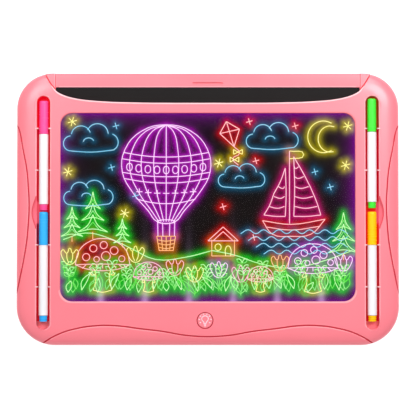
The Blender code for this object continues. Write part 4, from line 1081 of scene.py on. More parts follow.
# A painted shadow line round the finger notches.
NOTCH_EDGE_SHADE = Moulded("notch_edge", (0.72, 0.070, 0.100), 0.5, scuffs=0.0, specular=0.2)
PALE_ICON = Moulded("icon_pale_pink", (1.0, 0.66, 0.73), 0.34, scuffs=0.0)
CARD = Moulded("card_black", (0.0098, 0.0082, 0.0082), 0.6, 0.00003, 2400.0, scuffs=0.2, specular=0.12)
PANEL = LitPanel("clear_acrylic", (0.84, 0.76, 0.77), 0.03)
BARREL = Moulded("barrel_white", (0.90, 0.885, 0.92), 0.24, scuffs=0.1, gloss_coat=0.4)
STEEL = Metal("plated_steel", (0.64, 0.64, 0.66), 0.28)
DARK = Moulded("switch_black", (0.03, 0.03, 0.035), 0.45)
RUBBER = Moulded("foot_rubber", (0.40, 0.26, 0.28), 0.85, grain_depth=0.00005)
CIRCUIT = Circuit("circuit_green", (0.02, 0.20, 0.07), 0.4)
WRAP = CellWrap("cell_wrap", (0.05, 0.055, 0.07), 0.3)
FELT = Felt("nib_felt", (0.84, 0.83, 0.80), 0.95)
INSIDE: dict[str, Finish] = {
    "main_pcb": CIRCUIT,
    "led_strip": CIRCUIT,
    "switch_housing": DARK,
    "switch_plunger": DARK,
    "kickstand_pin": STEEL,
    **{f"battery_{index}": WRAP for index in (1, 2, 3)},
    **{f"contact_{side.word}_{end}": STEEL for side in Side for end in ("pair", "end")},
    "led_lead": Moulded("lead_white", (0.82, 0.82, 0.80), 0.5),
    "battery_lead_red": Moulded("lead_red", (0.60, 0.02, 0.02), 0.5),
    "battery_lead_black": Moulded("lead_black", (0.02, 0.02, 0.02), 0.5),
}


# Case


@dataclass
class FrontCase:
    """The front moulding: bezel, pen slots, finger notches and engraved lines.

    A rim is a pair: its reach outwards and its depth. Its highlight share is the upper part of the depth,
    which is painted as a highlight. The slots' walls, the notches and the engraved lines carry painted shade.
    """

    edge_reach: float = 0.0185
    edge_drop: float = 0.0075
    edge_power: float = 2.35
    edge_steps: int = 16
    roof_inset: float = 0.0075
    screen_rim: Plan = (0.0014, 0.0012)
    arc_rim: Plan = (0.0012, 0.0010)
    arc_highlight_share: float = 0.9
    arc_wall: float = 0.0016
    glint_past: float = 0.001
    slot_rim: Plan = (0.0011, 0.0009)
    slot_highlight_share: float = 0.7
    open_end: float = 0.0075
    trough_wall: float = 0.0015
    trough_notch: float = 0.0075
    rib: float = 0.0010
    rib_root: float = 0.0005
    rib_past: float = 0.0013
    rib_proud: float = 0.00015
    rib_shares: Sequence[float] = (0.8608, 0.6820, 0.3622, 0.1829)
    pen_radius: float = 0.0046
    notch_steps: int = 16
    notch_power: float = 1.2
    notch_line: float = 0.0008
    notch_line_depth: float = 0.0004
    scoop_depth: float = 0.0060
    scoop_rise: float = 0.0038
    button_rim: float = 0.0005
    button_cut: float = 0.004
    groove_radius: float = 0.00070
    groove_lift: float = 0.1
    lip_shift: float = 0.0008
    level_share: float = 0.90
    dip_radius: float = 0.0025
    dip_depth: float = 0.00016
    side_groove: Sequence[Plan] = (
        (-0.1765, 0.0805), (-0.1722, 0.0710), (-0.1693, 0.0560), (-0.1654, 0.0360), (-0.1639, 0.0200),
        (-0.1631, 0.0040), (-0.1637, -0.0120), (-0.1652, -0.0290), (-0.1678, -0.0450), (-0.1708, -0.0600),
        (-0.1735, -0.0720), (-0.1765, -0.0830),
    )
    wave_groove: Sequence[Plan] = (
        (-0.1600, -0.1300), (-0.1490, -0.1215), (-0.1347, -0.1137), (-0.1201, -0.1092), (-0.1020, -0.1065),
        (-0.0830, -0.1065), (-0.0615, -0.1092), (-0.0395, -0.1119), (-0.0220, -0.1150), (0.0, -0.1165),
    )
    case: Piece = field(init=False)

    @property
    def side_top(self) -> float:
        """The height where the soft edge starts."""
        return SIZES.face - self.edge_drop

    def build(self) -> None:
        """The whole moulding."""
        self.case = self.shell()
        PINK.put(self.case)
        self.hollow()
        self.open_top()
        self.add_troughs()
        self.open_screen()
        for side in Side:
            self.open_slot(side)
            self.add_ribs(side)
        self.open_button()
        self.engrave()
        keep(finish_faces(self.case), "board", "shell_pink", "front_shell")

    def shell(self) -> Piece:
        """The outer form with its round corners and soft outer edge.

        Returns:
            The new object.
        """
        shell = case_blank("front_case", SIZES.front_low, self.side_top)
        bevel(shell, level_at(SIZES.front_low), SIZES.seam, 2)
        with editing(shell, test=flat_at(self.side_top, 1)):
            reach = rise = 0.0
            for step in range(1, self.edge_steps + 1):
                angle = math.pi / 2 * step / self.edge_steps
                share = 2 / self.edge_power
                next_reach = self.edge_reach * (1 - math.cos(angle) ** share)
                next_rise = self.edge_drop * math.sin(angle) ** share
                bpy.ops.mesh.inset(thickness=next_reach - reach, depth=next_rise - rise)
                reach, rise = next_reach, next_rise
        return shell

    def hollow(self) -> None:
        """Sinks the inside into the moulding from behind, in two steps that follow the soft edge."""
        with editing(self.case, test=flat_at(SIZES.front_low, -1)):
            bpy.ops.mesh.inset(thickness=SIZES.wall, depth=0)
            raise_by(SIZES.rail - SIZES.front_low)
            bpy.ops.mesh.inset(thickness=self.roof_inset, depth=0)
            raise_by(SIZES.face - SIZES.bezel - SIZES.rail)

    def open_top(self) -> None:
        """Opens the face above the smile-shaped line, with a wall along the line and a rounded edge with a
        painted highlight.
        """
        wall = plan_line("arc_wall", arc_points(), SIZES.panel_low)
        with editing(wall, Pick.EDGES):
            rise = SIZES.under_face - SIZES.panel_low
            bpy.ops.mesh.extrude_edges_move(TRANSFORM_OT_translate={"value": (0, 0, rise)})
        modify(wall, "SOLIDIFY", thickness=self.arc_wall * 2, offset=0.0)
        with editing(wall):
            face_outwards()
        combine(wall, [self.shell()], "INTERSECT")
        fuse(self.case, wall)
        depth = self.arc_rim[1]
        opening = prism("arc_cut", arc_points(), SIZES.split - PAST, SIZES.face - depth, BEYOND_TOP)
        half = (SIZES.arc_half, SIZES.half_height - SIZES.arc_y)
        flare(opening, (0, SIZES.half_height), half, rim_steps(*self.arc_rim))
        PINK.put(opening)
        edge, past = SIZES.face - depth * self.arc_highlight_share, SIZES.card_top + self.glint_past
        # Painted highlight on the rounded edge, down to just past the card's top.
        paint(opening, PAINTED_GLINT, lambda at, normal: at.z > edge and at.y < past)
        cut(self.case, opening)

    def add_troughs(self) -> None:
        """Adds the solids that the pen slots and the finger notches are sunk into."""
        half = (SIZES.slot_half + self.trough_wall, SIZES.slot_reach + self.trough_wall)
        low, high = SIZES.slot_floor - self.trough_wall, SIZES.under_face
        for side in Side:
            middle = (side.value * SIZES.slot_x, SIZES.slot_middle)
            trough = slab(f"trough_{side.word}", middle, half, low, high, half[0], 12)
            fuse(self.case, trough, self.notch(side, self.trough_wall, SIZES.face - self.trough_notch, high))

    def notch(self, side: Side, grow: float, low: float, high: float) -> Piece:
        """The solid of a finger notch.

        Args:
            side: the slot that it lies beside.
            grow: how far it is grown outwards.
            low: its lower height.
            high: its upper height.

        Returns:
            The new object.
        """
        edge = SIZES.slot_x + SIZES.slot_half + grow
        half = SIZES.notch_half + grow
        points = []
        for step in range(self.notch_steps + 1):
            share = step / self.notch_steps
            bulge = max(0.0, math.sin(math.pi * share)) ** self.notch_power * SIZES.notch_bulge
            points.append((side.value * (edge + bulge), SIZES.notch_y - half + 2 * half * share))
        push = (-side.value * (SIZES.slot_half + grow + SIZES.notch_bulge), 0)
        return prism(f"notch_{side.word}", points, low, high, push)

    def scoop(self, side: Side) -> Piece:
        """The cutter of a finger notch, whose floor falls towards the slot and is painted with shade.

        Args:
            side: the slot that it lies beside.

        Returns:
            The new object.
        """
        cutter = self.notch(side, 0, SIZES.face - self.scoop_depth, SIZES.face + PAST)
        level, inner = SIZES.face - self.scoop_depth / 2, SIZES.slot_x + SIZES.slot_half / 2
        with editing(cutter, Pick.VERTS, lambda at: at.z < level and abs(at.x) > inner):
            bpy.ops.transform.translate(value=(0, 0, self.scoop_rise))
        # Painted shade on the notch's floor and walls.
        BOWL_SHADE.put(cutter)
        return cutter

    def open_screen(self) -> None:
        """Cuts the screen's opening, with a painted highlight on its rim along the lower edge."""
        middle, half = SIZES.screen_middle, SIZES.screen_half
        low, edge = SIZES.face - SIZES.bezel - PAST, SIZES.face - self.screen_rim[1]
        screen = slab("screen_cut", middle, half, low, edge, SIZES.screen_corner, 16)
        flare(screen, middle, half, rim_steps(*self.screen_rim, 2))
        PINK.put(screen)
        lower = middle[1] - half[1] + SIZES.screen_corner
        # Painted highlight on the rim along the lower edge and its corners.
        paint(screen, LIP_HIGHLIGHT, lambda at, normal: at.z > edge and at.y < lower)
        cut(self.case, screen)

    def open_slot(self, side: Side) -> None:
        """Cuts a pen slot and its finger notch, with a painted highlight on its rim, painted shade and light
        on its walls, and painted shade in and round the notch.

        Args:
            side: the slot's side.
        """
        middle, half = (side.value * SIZES.slot_x, SIZES.slot_middle), (SIZES.slot_half, SIZES.slot_reach)
        depth = self.slot_rim[1]
        slot = slab(f"slot_cut_{side.word}", middle, half, SIZES.slot_floor, SIZES.face - depth, half[0], 14)
        flare(slot, middle, half, rim_steps(*self.slot_rim))
        PINK.put(slot)
        edge, end = SIZES.face - depth * self.slot_highlight_share, SIZES.slot_low + self.open_end
        with editing(slot):
            bpy.ops.mesh.bisect(plane_co=(0, end, 0), plane_no=(0, 1, 0))
        # Painted highlight on the upper part of the slot's rim.
        paint(slot, LIP_HIGHLIGHT, lambda at, normal: at.z > edge)
        # Painted shade and painted light from the pens on the walls below the rim.
        paint(slot, SLOT_PAINTED_LIGHT, lambda at, normal: at.z < edge and at.y > end)
        line = self.notch(side, self.notch_line, SIZES.face - self.notch_line_depth, SIZES.face + PAST)
        # A painted shadow line round the notch.
        NOTCH_EDGE_SHADE.put(line)
        cut(self.case, line)
        cut(self.case, slot, self.scoop(side))

    def add_ribs(self, side: Side) -> None:
        """Adds the thin ribs that hold the pens in a slot, painted as highlights.

        Args:
            side: the slot's side.
        """
        middle, top = side.value * SIZES.slot_x, SIZES.face + self.rib_proud
        for index, share in enumerate(self.rib_shares):
            y = SIZES.slot_low + share * (SIZES.slot_high - SIZES.slot_low)
            for sign in (-1, 1):
                near, far = middle + sign * self.pen_radius, middle + sign * (SIZES.slot_half + self.rib_past)
                low = (min(near, far), y - self.rib / 2, SIZES.slot_floor - self.rib_root)
                rib = block(f"rib_{side.word}_{index}", low, (max(near, far), y + self.rib / 2, top))
                bevel(rib, level_at(top), self.rib / 3, 2)
                # Painted highlight on the whole rib.
                PAINTED_GLINT.put(rib)
                fuse(self.case, rib)

    def open_button(self) -> None:
        """Cuts the button's hole, whose wall is painted with shade."""
        radius = SIZES.button_radius + SIZES.seam
        rim = radius + self.button_rim
        profile = [
            (radius, 0), (radius, SIZES.bezel + PAST / 2), (rim, SIZES.bezel + PAST), (rim, self.button_cut)
        ]
        low = SIZES.face - SIZES.bezel - PAST
        hole = turned("button_cut", profile, (*SIZES.button, low), sides=64)
        # Painted shade on the hole's wall: a dark ring round the button.
        GROOVE_SHADE.put(hole)
        cut(self.case, hole)

    def engrave(self) -> None:
        """Cuts the side lines and the lower wave line into the face, each painted with shade, with a painted
        highlight on a shallow dip outside.
        """
        wave = [*self.wave_groove, *((-x, y) for x, y in self.wave_groove[-2::-1])]
        mirrored = [(-x, y) for x, y in self.side_groove]
        outwards = {
            "wave": (wave, 0, -1), "side_left": (self.side_groove, -1, 0), "side_right": (mirrored, 1, 0),
        }
        for name, (route, across, up) in outwards.items():
            outer = [(x + across * self.lip_shift, y + up * self.lip_shift) for x, y in route]
            dip = self.engraver(f"{name}_dip", outer, self.dip_radius, self.dip_radius - self.dip_depth)
            lift = self.groove_radius * self.groove_lift
            line = self.engraver(f"{name}_line", route, self.groove_radius, lift)
            # Painted highlight on the shallow dip outside the line.
            LIP_HIGHLIGHT.put(dip)
            # Painted shade in the engraved line.
            GROOVE_SHADE.put(line)
            cut(self.case, dip, line)

    def engraver(self, name: str, route: Sequence[Plan], radius: float, lift: float) -> Piece:
        """A round bar that follows a route on the moulding's surface. A shallow one keeps to its level parts.

        Args:
            name: the bar's name.
            route: the route in plan.
            radius: the bar's radius.
            lift: how far its middle lies above the surface.

        Returns:
            The new object.
        """
        line = plan_line(name, route, SIZES.face)
        places = [vertex.co.copy() for vertex in line.data.vertices][::2]
        bpy.data.objects.remove(line, do_unlink=True)
        shallow = lift > radius / 2
        last = self.side_top
        points = []
        for place in places:
            hit, spot, normal, _ = self.case.ray_cast((place.x, place.y, SIZES.face * 2), (0, 0, -1))
            if shallow and not (hit and normal.z > self.level_share):
                continue
            last = spot.z if hit else min(last, self.side_top)
            points.append((place.x, place.y, last + lift))
        return strokes(name, [Stroke(points)], radius)


def door_tongue(
    name: str, edge: float, size: Plan, low: float, high: float, round_by: tuple[float, int]
) -> Piece:
    """The battery door's tongue, or the solid that cuts its seat."""
    reach = size[1] / 2
    return slab(name, (0, edge - reach + PAST), (size[0], reach + PAST), low, high, *round_by)


@dataclass
class BackCase:
    """The rear moulding with its lip, stand pocket, battery opening and screw wells."""

    edge_reach: float = 0.0040
    floor: float = 0.0020
    lip: float = 0.0010
    lip_rise: float = 0.0020
    box_wall: float = 0.0015
    stand_half: float = 0.0333
    pocket_top: float = 0.0050
    pocket_corner: float = 0.0006
    finger_half: float = 0.0120
    finger_end: float = -0.1180
    finger_corner: float = 0.0030
    finger_past: float = 0.0005
    hub: float = 0.0025
    hinge_past: float = 0.0042
    box_corner: float = 0.002
    bay_corner: float = 0.0008
    door_lap: float = 0.0012
    door_seat: float = 0.0036
    seat_corner: float = 0.0010
    tongue: Plan = (0.0068, 0.0075)
    tongue_corner: float = 0.0020
    support: float = 0.0142
    rib: float = 0.0015
    rib_x: float = 0.1155
    rib_reach: float = 0.0585
    boss: float = 0.0036
    well: Sequence[Plan] = ((0.0032, 0), (0.0028, 0.0006), (0.0028, 0.005))
    well_rise: float = 0.0005
    hole_long: float = 0.012
    wells: Sequence[Plan] = ((0.1525, 0.1095), (0.1650, 0.0), (0.1470, -0.1162), (0.0600, -0.1122))
    feet: Plan = (0.1400, 0.0925)
    foot_seat: Plan = (0.0063, 0.002)
    case: Piece = field(init=False)

    def build(self) -> None:
        """The whole moulding."""
        case = self.case = case_blank("back_case", SIZES.back, SIZES.split)
        bevel(case, level_at(SIZES.back), self.edge_reach, 6)
        with editing(case, test=flat_at(SIZES.split, 1)):
            bpy.ops.mesh.inset(thickness=SIZES.wall + SIZES.seam, depth=0)
            raise_by(self.lip_rise)
            bpy.ops.mesh.inset(thickness=self.lip, depth=0)
            raise_by(SIZES.back + self.floor - SIZES.split - self.lip_rise)
        bevel(case, level_at(SIZES.split), SIZES.seam, 2, sharp=60)
        self.add_inside()
        under = SIZES.back - PAST
        self.open_pocket(under)
        self.open_bay(under)
        self.open_seats(under)
        PINK.put(finish_faces(case))
        keep(case, "board", "shell_pink", "back_shell")

    def well_places(self) -> list[Plan]:
        """The places of the case screws, in pairs."""
        return [(sign * x, y) for x, y in self.wells for sign in (-1, 1)]

    def add_inside(self) -> None:
        """Adds the pocket's walls, the battery box, the bosses and the ribs."""
        root, wall = SIZES.back + self.floor / 2, self.box_wall
        pivot, end, top = SIZES.stand_pivot, SIZES.stand_end, self.pocket_top + wall
        wide = self.stand_half + wall
        pocket = block("pocket_walls", (-wide, end - wall, root), (wide, pivot, top))
        wide = self.finger_half + wall
        finger = block("finger_walls", (-wide, self.finger_end - wall, root), (wide, end, top))
        wide = self.stand_half + self.hinge_past
        hinge = block(
            "hinge_walls",
            (-wide, pivot - self.hub - wall, root),
            (wide, pivot + self.hub + wall, SIZES.stand_axis + self.hub + wall),
        )
        reach = tuple(half + self.door_lap + wall for half in SIZES.bay_half)
        box = slab("battery_walls", (0, SIZES.bay_y), reach, root, self.support, self.box_corner, 4)
        fuse(self.case, pocket, finger, hinge, box)
        for x, y in self.well_places():
            profile = [(self.boss, root), (self.boss, SIZES.split - SIZES.seam)]
            fuse(self.case, turned("boss", profile, (x, y, root)))
        for x in (-self.rib_x, self.rib_x):
            low = (x - self.rib / 2, -self.rib_reach, root)
            high = (x + self.rib / 2, self.rib_reach, self.support)
            fuse(self.case, block("rib", low, high))

    def open_pocket(self, under: float) -> None:
        """Cuts the pocket of the stand and its hinge.

        Args:
            under: a height below the back.
        """
        pivot, end, wide = SIZES.stand_pivot, SIZES.stand_end, self.stand_half
        middle = (0, (pivot + end) / 2 - SIZES.seam / 2)
        half = (wide, (pivot - end) / 2 + SIZES.seam / 2)
        pocket = slab("pocket_cut", middle, half, under, self.pocket_top, self.pocket_corner, 2)
        middle = (0, (end + self.finger_end) / 2)
        half = (self.finger_half, (end - self.finger_end) / 2 + self.finger_past)
        finger = slab("finger_cut", middle, half, under, self.pocket_top, self.finger_corner, 6)
        low, high = (-wide, pivot - self.hub, under), (wide, pivot + self.hub, SIZES.stand_axis)
        mouth = block("mouth_cut", low, high)
        roll = [(self.hub, 0), (self.hub, wide * 2)]
        hub = turned("hub_cut", roll, (-wide, pivot, SIZES.stand_axis), lean=(0, 90, 0))
        cut(self.case, pocket, finger, mouth, hub)

    def open_bay(self, under: float) -> None:
        """Cuts the battery opening and the seat of its door.

        Args:
            under: a height below the back.
        """
        middle = (0, SIZES.bay_y)
        bay = slab("bay_cut", middle, SIZES.bay_half, under, self.support + PAST, self.bay_corner, 3)
        half = tuple(reach + self.door_lap + SIZES.seam for reach in SIZES.bay_half)
        seat = slab("seat_cut", middle, half, under, self.door_seat, self.seat_corner, 3)
        edge, corner = SIZES.bay_y - half[1], (self.tongue_corner, 4)
        cut(self.case, bay, seat, door_tongue("tongue_cut", edge, self.tongue, under, self.door_seat, corner))

    def open_seats(self, under: float) -> None:
        """Cuts the screw wells and the feet's seats.

        Args:
            under: a height below the back.
        """
        for x, y in self.well_places():
            wide = turned("well", self.well, (x, y, under + self.well_rise))
            hole = turned("hole", [(SIZES.screw_hole, 0), (SIZES.screw_hole, self.hole_long)], (x, y, under))
            cut(self.case, wide, hole)
        radius, high = self.foot_seat
        for x in (-self.feet[0], self.feet[0]):
            for y in (-self.feet[1], self.feet[1]):
                cut(self.case, turned("foot_cut", [(radius, 0), (radius, high)], (x, y, under)))


@dataclass
class CardStrip:
    """The inner plate that carries the card, with the strip that shows above it."""

    plate_low: float = 0.0145
    plate_top: float = 0.1112
    half: float = 0.1424
    low: float = -0.0931
    head_fit: Plan = (1.008, -0.0012)
    head_inset: float = 0.0023
    head_corner: float = 0.0302
    skirt_fit: Plan = (0.9975, 0.0002)
    skirt_low: float = 0.0108
    skirt_below: float = 0.0100
    skirt_wall: float = 0.0012
    rest_half: float = 0.2
    rest_low: float = 0.05
    ledge_half: float = 0.1415
    ledge: float = 0.0014
    ledge_rise: float = 0.0025
    channel_low: float = 0.0888
    channel_corner: float = 0.0004
    land_rim: Plan = (0.0010, 0.0009)
    land_dark: float = 0.7
    land_gap: float = 0.0010
    land_share: float = 0.97
    well_inset: float = 0.0033
    well_low: float = -0.0852
    well_depth: float = 0.0008
    well_lean: float = 0.5
    chamfer: float = 0.0012
    nail_gap: float = 0.0012
    nail_half: float = 0.0138
    nail_height: float = 0.0024
    nail_depth: float = 0.0014
    nail_corner: float = 0.0009
    tray: Piece = field(init=False)

    def build(self) -> None:
        """The whole moulding."""
        low, high = (-self.half, self.low, self.plate_low), (self.half, self.plate_top, SIZES.guide)
        self.tray = block("card_tray_body", low, high)
        PINK.put(self.tray)
        rest = (self.low + self.ledge, SIZES.guide + self.ledge_rise)
        ledge = block("tray_ledge", (-self.ledge_half, *low[1:]), (self.ledge_half, *rest))
        fuse(self.tray, *self.head(), ledge)
        cut(self.tray, self.channel(), self.card_well(), self.nail_slot())
        lands = [point for point in arc_points() if abs(point[0]) > SIZES.channel_half * self.land_share]
        # Each land gets a painted shadow line along the smile-shaped edge, where the case's edge shades it.
        for side in Side:
            route = [(x, y, SIZES.guide) for x, y in lands if x * side.value > 0]
            gap = strokes(f"land_gap_{side.word}", [Stroke(route)], self.land_gap)
            GAP_SHADE.put(gap)
            cut(self.tray, gap)
        keep(finish_faces(self.tray), "board", "shell_pink", "card_tray")

    def head(self) -> tuple[Piece, Piece]:
        """The plate's head inside the case, and its skirt that reaches the case's outline.

        Returns:
            The two solids.
        """
        inner = SIZES.half_height - SIZES.wall - SIZES.seam
        head = prism("tray_head", arc_points(*self.head_fit), self.plate_low, SIZES.guide, BEYOND_TOP)
        half, below = (SIZES.half_width - self.head_inset, inner), self.plate_low - PAST
        bound = slab("head_bound", (0, 0), half, below, SIZES.above, self.head_corner, 20)
        combine(head, [bound], "INTERSECT")
        skirt = prism("tray_skirt", arc_points(*self.skirt_fit), self.skirt_low, SIZES.guide, BEYOND_TOP)
        half, steps = (SIZES.half_width, SIZES.half_height), SIZES.corner_steps
        bound = slab("skirt_bound", (0, 0), half, self.skirt_below, SIZES.above, SIZES.top_corner, steps)
        combine(skirt, [bound], "INTERSECT")
        low = (-self.rest_half, self.rest_low, 0.0)
        high = (self.rest_half, inner - self.skirt_wall, SIZES.above)
        cut(skirt, block("skirt_rest", low, high))
        return head, skirt

    def channel(self) -> Piece:
        """The cutter of the channel that the card slides in; the rims of the lands beside it get painted shade
        low down and a painted highlight above.

        Returns:
            The cutter.
        """
        top, low = SIZES.half_height, self.channel_low
        middle, half = (0, (top - low) / 2 + PAST), (SIZES.channel_half, (top + low) / 2 + PAST)
        depth = self.land_rim[1]
        edge = SIZES.guide - depth
        channel = slab("channel_cut", middle, half, SIZES.rail, edge, self.channel_corner, 2)
        flare(channel, middle, half, rim_steps(*self.land_rim, 3))
        PINK.put(channel)
        # Painted shadow on the lower part of the lands' rims, and a painted highlight on their upper part.
        paint(channel, GAP_SHADE, lambda at, normal: at.z > edge)
        paint(channel, LIP_HIGHLIGHT, lambda at, normal: at.z > edge + depth * self.land_dark)
        return channel

    def card_well(self) -> Piece:
        """The cutter of the shallow well that the card lies in, with its chamfer at the top painted as a
        highlight.

        Returns:
            The cutter.
        """
        half, bottom = SIZES.channel_half - self.well_inset, SIZES.rail - self.well_depth
        well = block("well_cut", (-half, self.well_low, bottom), (half, SIZES.card_top, SIZES.above))
        with editing(well, Pick.VERTS, lambda at: at.y > 0 and at.z > SIZES.rail):
            rise = SIZES.above - SIZES.rail + self.well_depth
            bpy.ops.transform.translate(value=(0, self.chamfer * rise / self.well_depth, 0))
        PINK.put(well)
        # Painted highlight on the chamfer at the well's top.
        paint(well, LIP_HIGHLIGHT, lambda at, normal: normal.y > self.well_lean)
        return well

    def nail_slot(self) -> Piece:
        """The cutter of the thumb slot above the card."""
        half = (self.nail_half, self.nail_height / 2)
        middle = (0, SIZES.card_top + self.chamfer + self.nail_gap + half[1])
        return slab("nail_cut", middle, half, SIZES.rail - self.nail_depth, SIZES.above, self.nail_corner, 4)


# Screen


class Tone(Enum):
    """The ink colours of the drawing: the line's colour and the glow around it."""

    ORCHID = ((1.0, 0.62, 1.0), (0.38, 0.0, 0.42))
    ROSE = ((1.0, 0.50, 0.66), (0.46, 0.0, 0.13))
    SKY = ((0.17, 0.60, 0.84), (0.0, 0.075, 0.15))
    LEAF = ((0.08, 0.72, 0.03), (0.0, 0.40, 0.006))
    SPROUT = ((0.46, 0.96, 0.34), (0.0, 0.42, 0.006))
    LEMON = ((1.0, 0.94, 0.24), (0.38, 0.33, 0.0))
    CORAL = ((1.0, 0.46, 0.48), (0.50, 0.0, 0.0))
    AMBER = ((1.0, 0.45, 0.12), (0.42, 0.09, 0.0))

    @property
    def line(self) -> Color:
        """The colour of the ink itself."""
        return self.value[0]

    @property
    def glow(self) -> Color:
        """The colour of the light around the ink."""
        return self.value[1]


@dataclass
class Drawing:
    """A night meadow in ink: a balloon, a boat on a lake, a kite, hills, trees, a house and toadstools.

    Each motif is given from a middle and at a scale of its own, in millimetres.
    """

    lift: float = 0.00008
    seed: int = 7
    middle: Plan = (0.0, 0.0)
    size: float = 1.0
    lines: dict[Tone, list[Stroke]] = field(default_factory=dict)

    def build(self) -> None:
        """Draws all motifs."""
        self.draw_balloon()
        self.draw_boat()
        self.draw_sky()
        self.draw_kite()
        self.draw_hills()
        self.draw_house()
        self.draw_meadow()

    def start(self, x: float, y: float, size: float = 1.0) -> None:
        """Starts a motif at its middle and scale."""
        self.middle, self.size = (x, y), size

    def line(self, tone: Tone, *points: Plan, closed: bool = False) -> None:
        """Adds one ink line.

        Args:
            tone: the ink.
            points: the places that it passes.
            closed: whether it is a loop.
        """
        (x, y), size, height = self.middle, self.size, SIZES.panel_high + self.lift
        places = [((x + a * size) * MM, (y + b * size) * MM, height) for a, b in points]
        self.lines.setdefault(tone, []).append(Stroke(places, closed))

    def edges(self, tone: Tone, *corners: Plan, closed: bool = True) -> None:
        """Adds straight lines from corner to corner, and back to the first one when closed."""
        for first, second in zip(corners, corners[1:] + corners[:1] * closed):
            self.line(tone, first, second)

    def ring(
        self, tone: Tone, middle: Plan, radius: Plan, steps: int = 8, first: float = 0, sweep: float = 360
    ) -> None:
        """Adds an ellipse or a part of one.

        Args:
            tone: the ink.
            middle: its middle.
            radius: its half sizes.
            steps: how many steps it has.
            first: where it starts, in degrees.
            sweep: how far it goes, in degrees.
        """
        whole = sweep >= 360
        angles = [math.radians(first + sweep * step / steps) for step in range(steps if whole else steps + 1)]
        (x, y), (wide, tall) = middle, radius
        points = [(x + wide * math.cos(turn), y + tall * math.sin(turn)) for turn in angles]
        self.line(tone, *points, closed=whole)

    def draw_balloon(self) -> None:
        """A hot-air balloon with curved panels and a basket."""
        x, y, size = -38.0, 36.0, 41.0
        self.start(x, y, size)
        outline = (
            (0.0, 1.0), (0.55, 0.86), (0.92, 0.45), (0.98, -0.05), (0.74, -0.52), (0.40, -0.92), (0.20, -1.16),
            (-0.20, -1.16), (-0.40, -0.92), (-0.74, -0.52), (-0.98, -0.05), (-0.92, 0.45), (-0.55, 0.86),
        )
        self.line(Tone.ORCHID, *outline, closed=True)
        for share in (-0.82, -0.56, -0.28, 0.0, 0.28, 0.56, 0.82):
            self.line(Tone.ORCHID, *((a * share, b) for a, b in outline[:7]))
        for level, wide in ((0.38, 0.94), (0.24, 0.97), (-0.06, 0.98), (-0.20, 0.93), (-0.66, 0.65)):
            self.line(Tone.ORCHID, *((wide * a, level - 0.10 * (1 - a * a)) for a in (-1, -0.5, 0, 0.5, 1)))
        for index in range(-4, 5):
            across = index * 0.205
            self.ring(Tone.ORCHID, (across, 0.09 - 0.10 * (1 - across * across)), (0.062, 0.085), 6)
        for index in range(-3, 4):
            across = index * 0.20
            level = -0.43 - 0.10 * (1 - across * across)
            for dx, dy in ((0.07, 0), (0, 0.07)):
                self.line(Tone.ORCHID, (across - dx, level - dy), (across + dx, level + dy))
        self.ring(Tone.ORCHID, (0, -1.16), (0.20, 0.04))
        self.start(x, y - size * 1.62)
        for sign in (-1, 1):
            for far, near in ((0.19, 7.5), (0.08, 3.0)):
                self.line(Tone.ORCHID, (sign * size * far, size * 0.44), (sign * near, 5.5))
        self.edges(Tone.AMBER, (-8.6, 5.5), (8.6, 5.5), (6.4, -7.5), (-6.4, -7.5))
        for level in (-4.6, -1.2, 2.2):
            wide = 7.2 + level * 0.16
            self.line(Tone.AMBER, (-wide, level), (0, level - 1.2), (wide, level))
        for share in (-0.5, 0.0, 0.5):
            self.line(Tone.AMBER, (share * 8.6, 5.0), (share * 6.4, -7.0))

    def draw_boat(self) -> None:
        """A sailing boat and the waves that it lies in."""
        x, y, size = 76.0, -12.0, 1.3
        self.start(x, y, size)
        self.line(Tone.CORAL, (-20, 1), (-13, -8.5), (0, -10), (14, -8.5), (24, 2))
        self.line(Tone.CORAL, (-20, 1), (0, -1.6), (24, 2))
        self.line(Tone.CORAL, (-17, -3.5), (0, -5.6), (20, -3))
        self.line(Tone.ROSE, (-1, -1), (-1, 50))
        for sail in ([(2, 4), (21, 5), (14, 24), (2, 46)], [(-4, 4), (-19, 5), (-12, 20), (-4, 38)]):
            for (a, b), (c, d) in zip(sail, sail[1:] + sail[:1]):
                self.line(Tone.ROSE, (a, b), ((a + c) / 2 + 0.8 / size, (b + d) / 2 - 0.6 / size), (c, d))
        for level, reach in ((11, 18.5), (18, 15.5), (25, 12.5), (32, 9), (39, 5.5)):
            self.line(Tone.ROSE, (2.5, level), (reach * 0.55, level - 1.3), (reach, level))
        for level, reach in ((11, -15.5), (18, -12.0), (25, -9)):
            self.line(Tone.ROSE, (-4.5, level), (reach * 0.6, level - 1.3), (reach, level))
        self.line(Tone.LEMON, (-1, 50), (9, 47.5), (-1, 44.5))
        for row in range(4):
            self.start(x - 46 + row * 7, y - 9 - row * 6.2)
            waves = [(step * 7.0, 2.0 if step % 2 else -1.6) for step in range(17)]
            self.line(Tone.SKY, *(wave for wave in waves if wave[0] + self.middle[0] < 130))

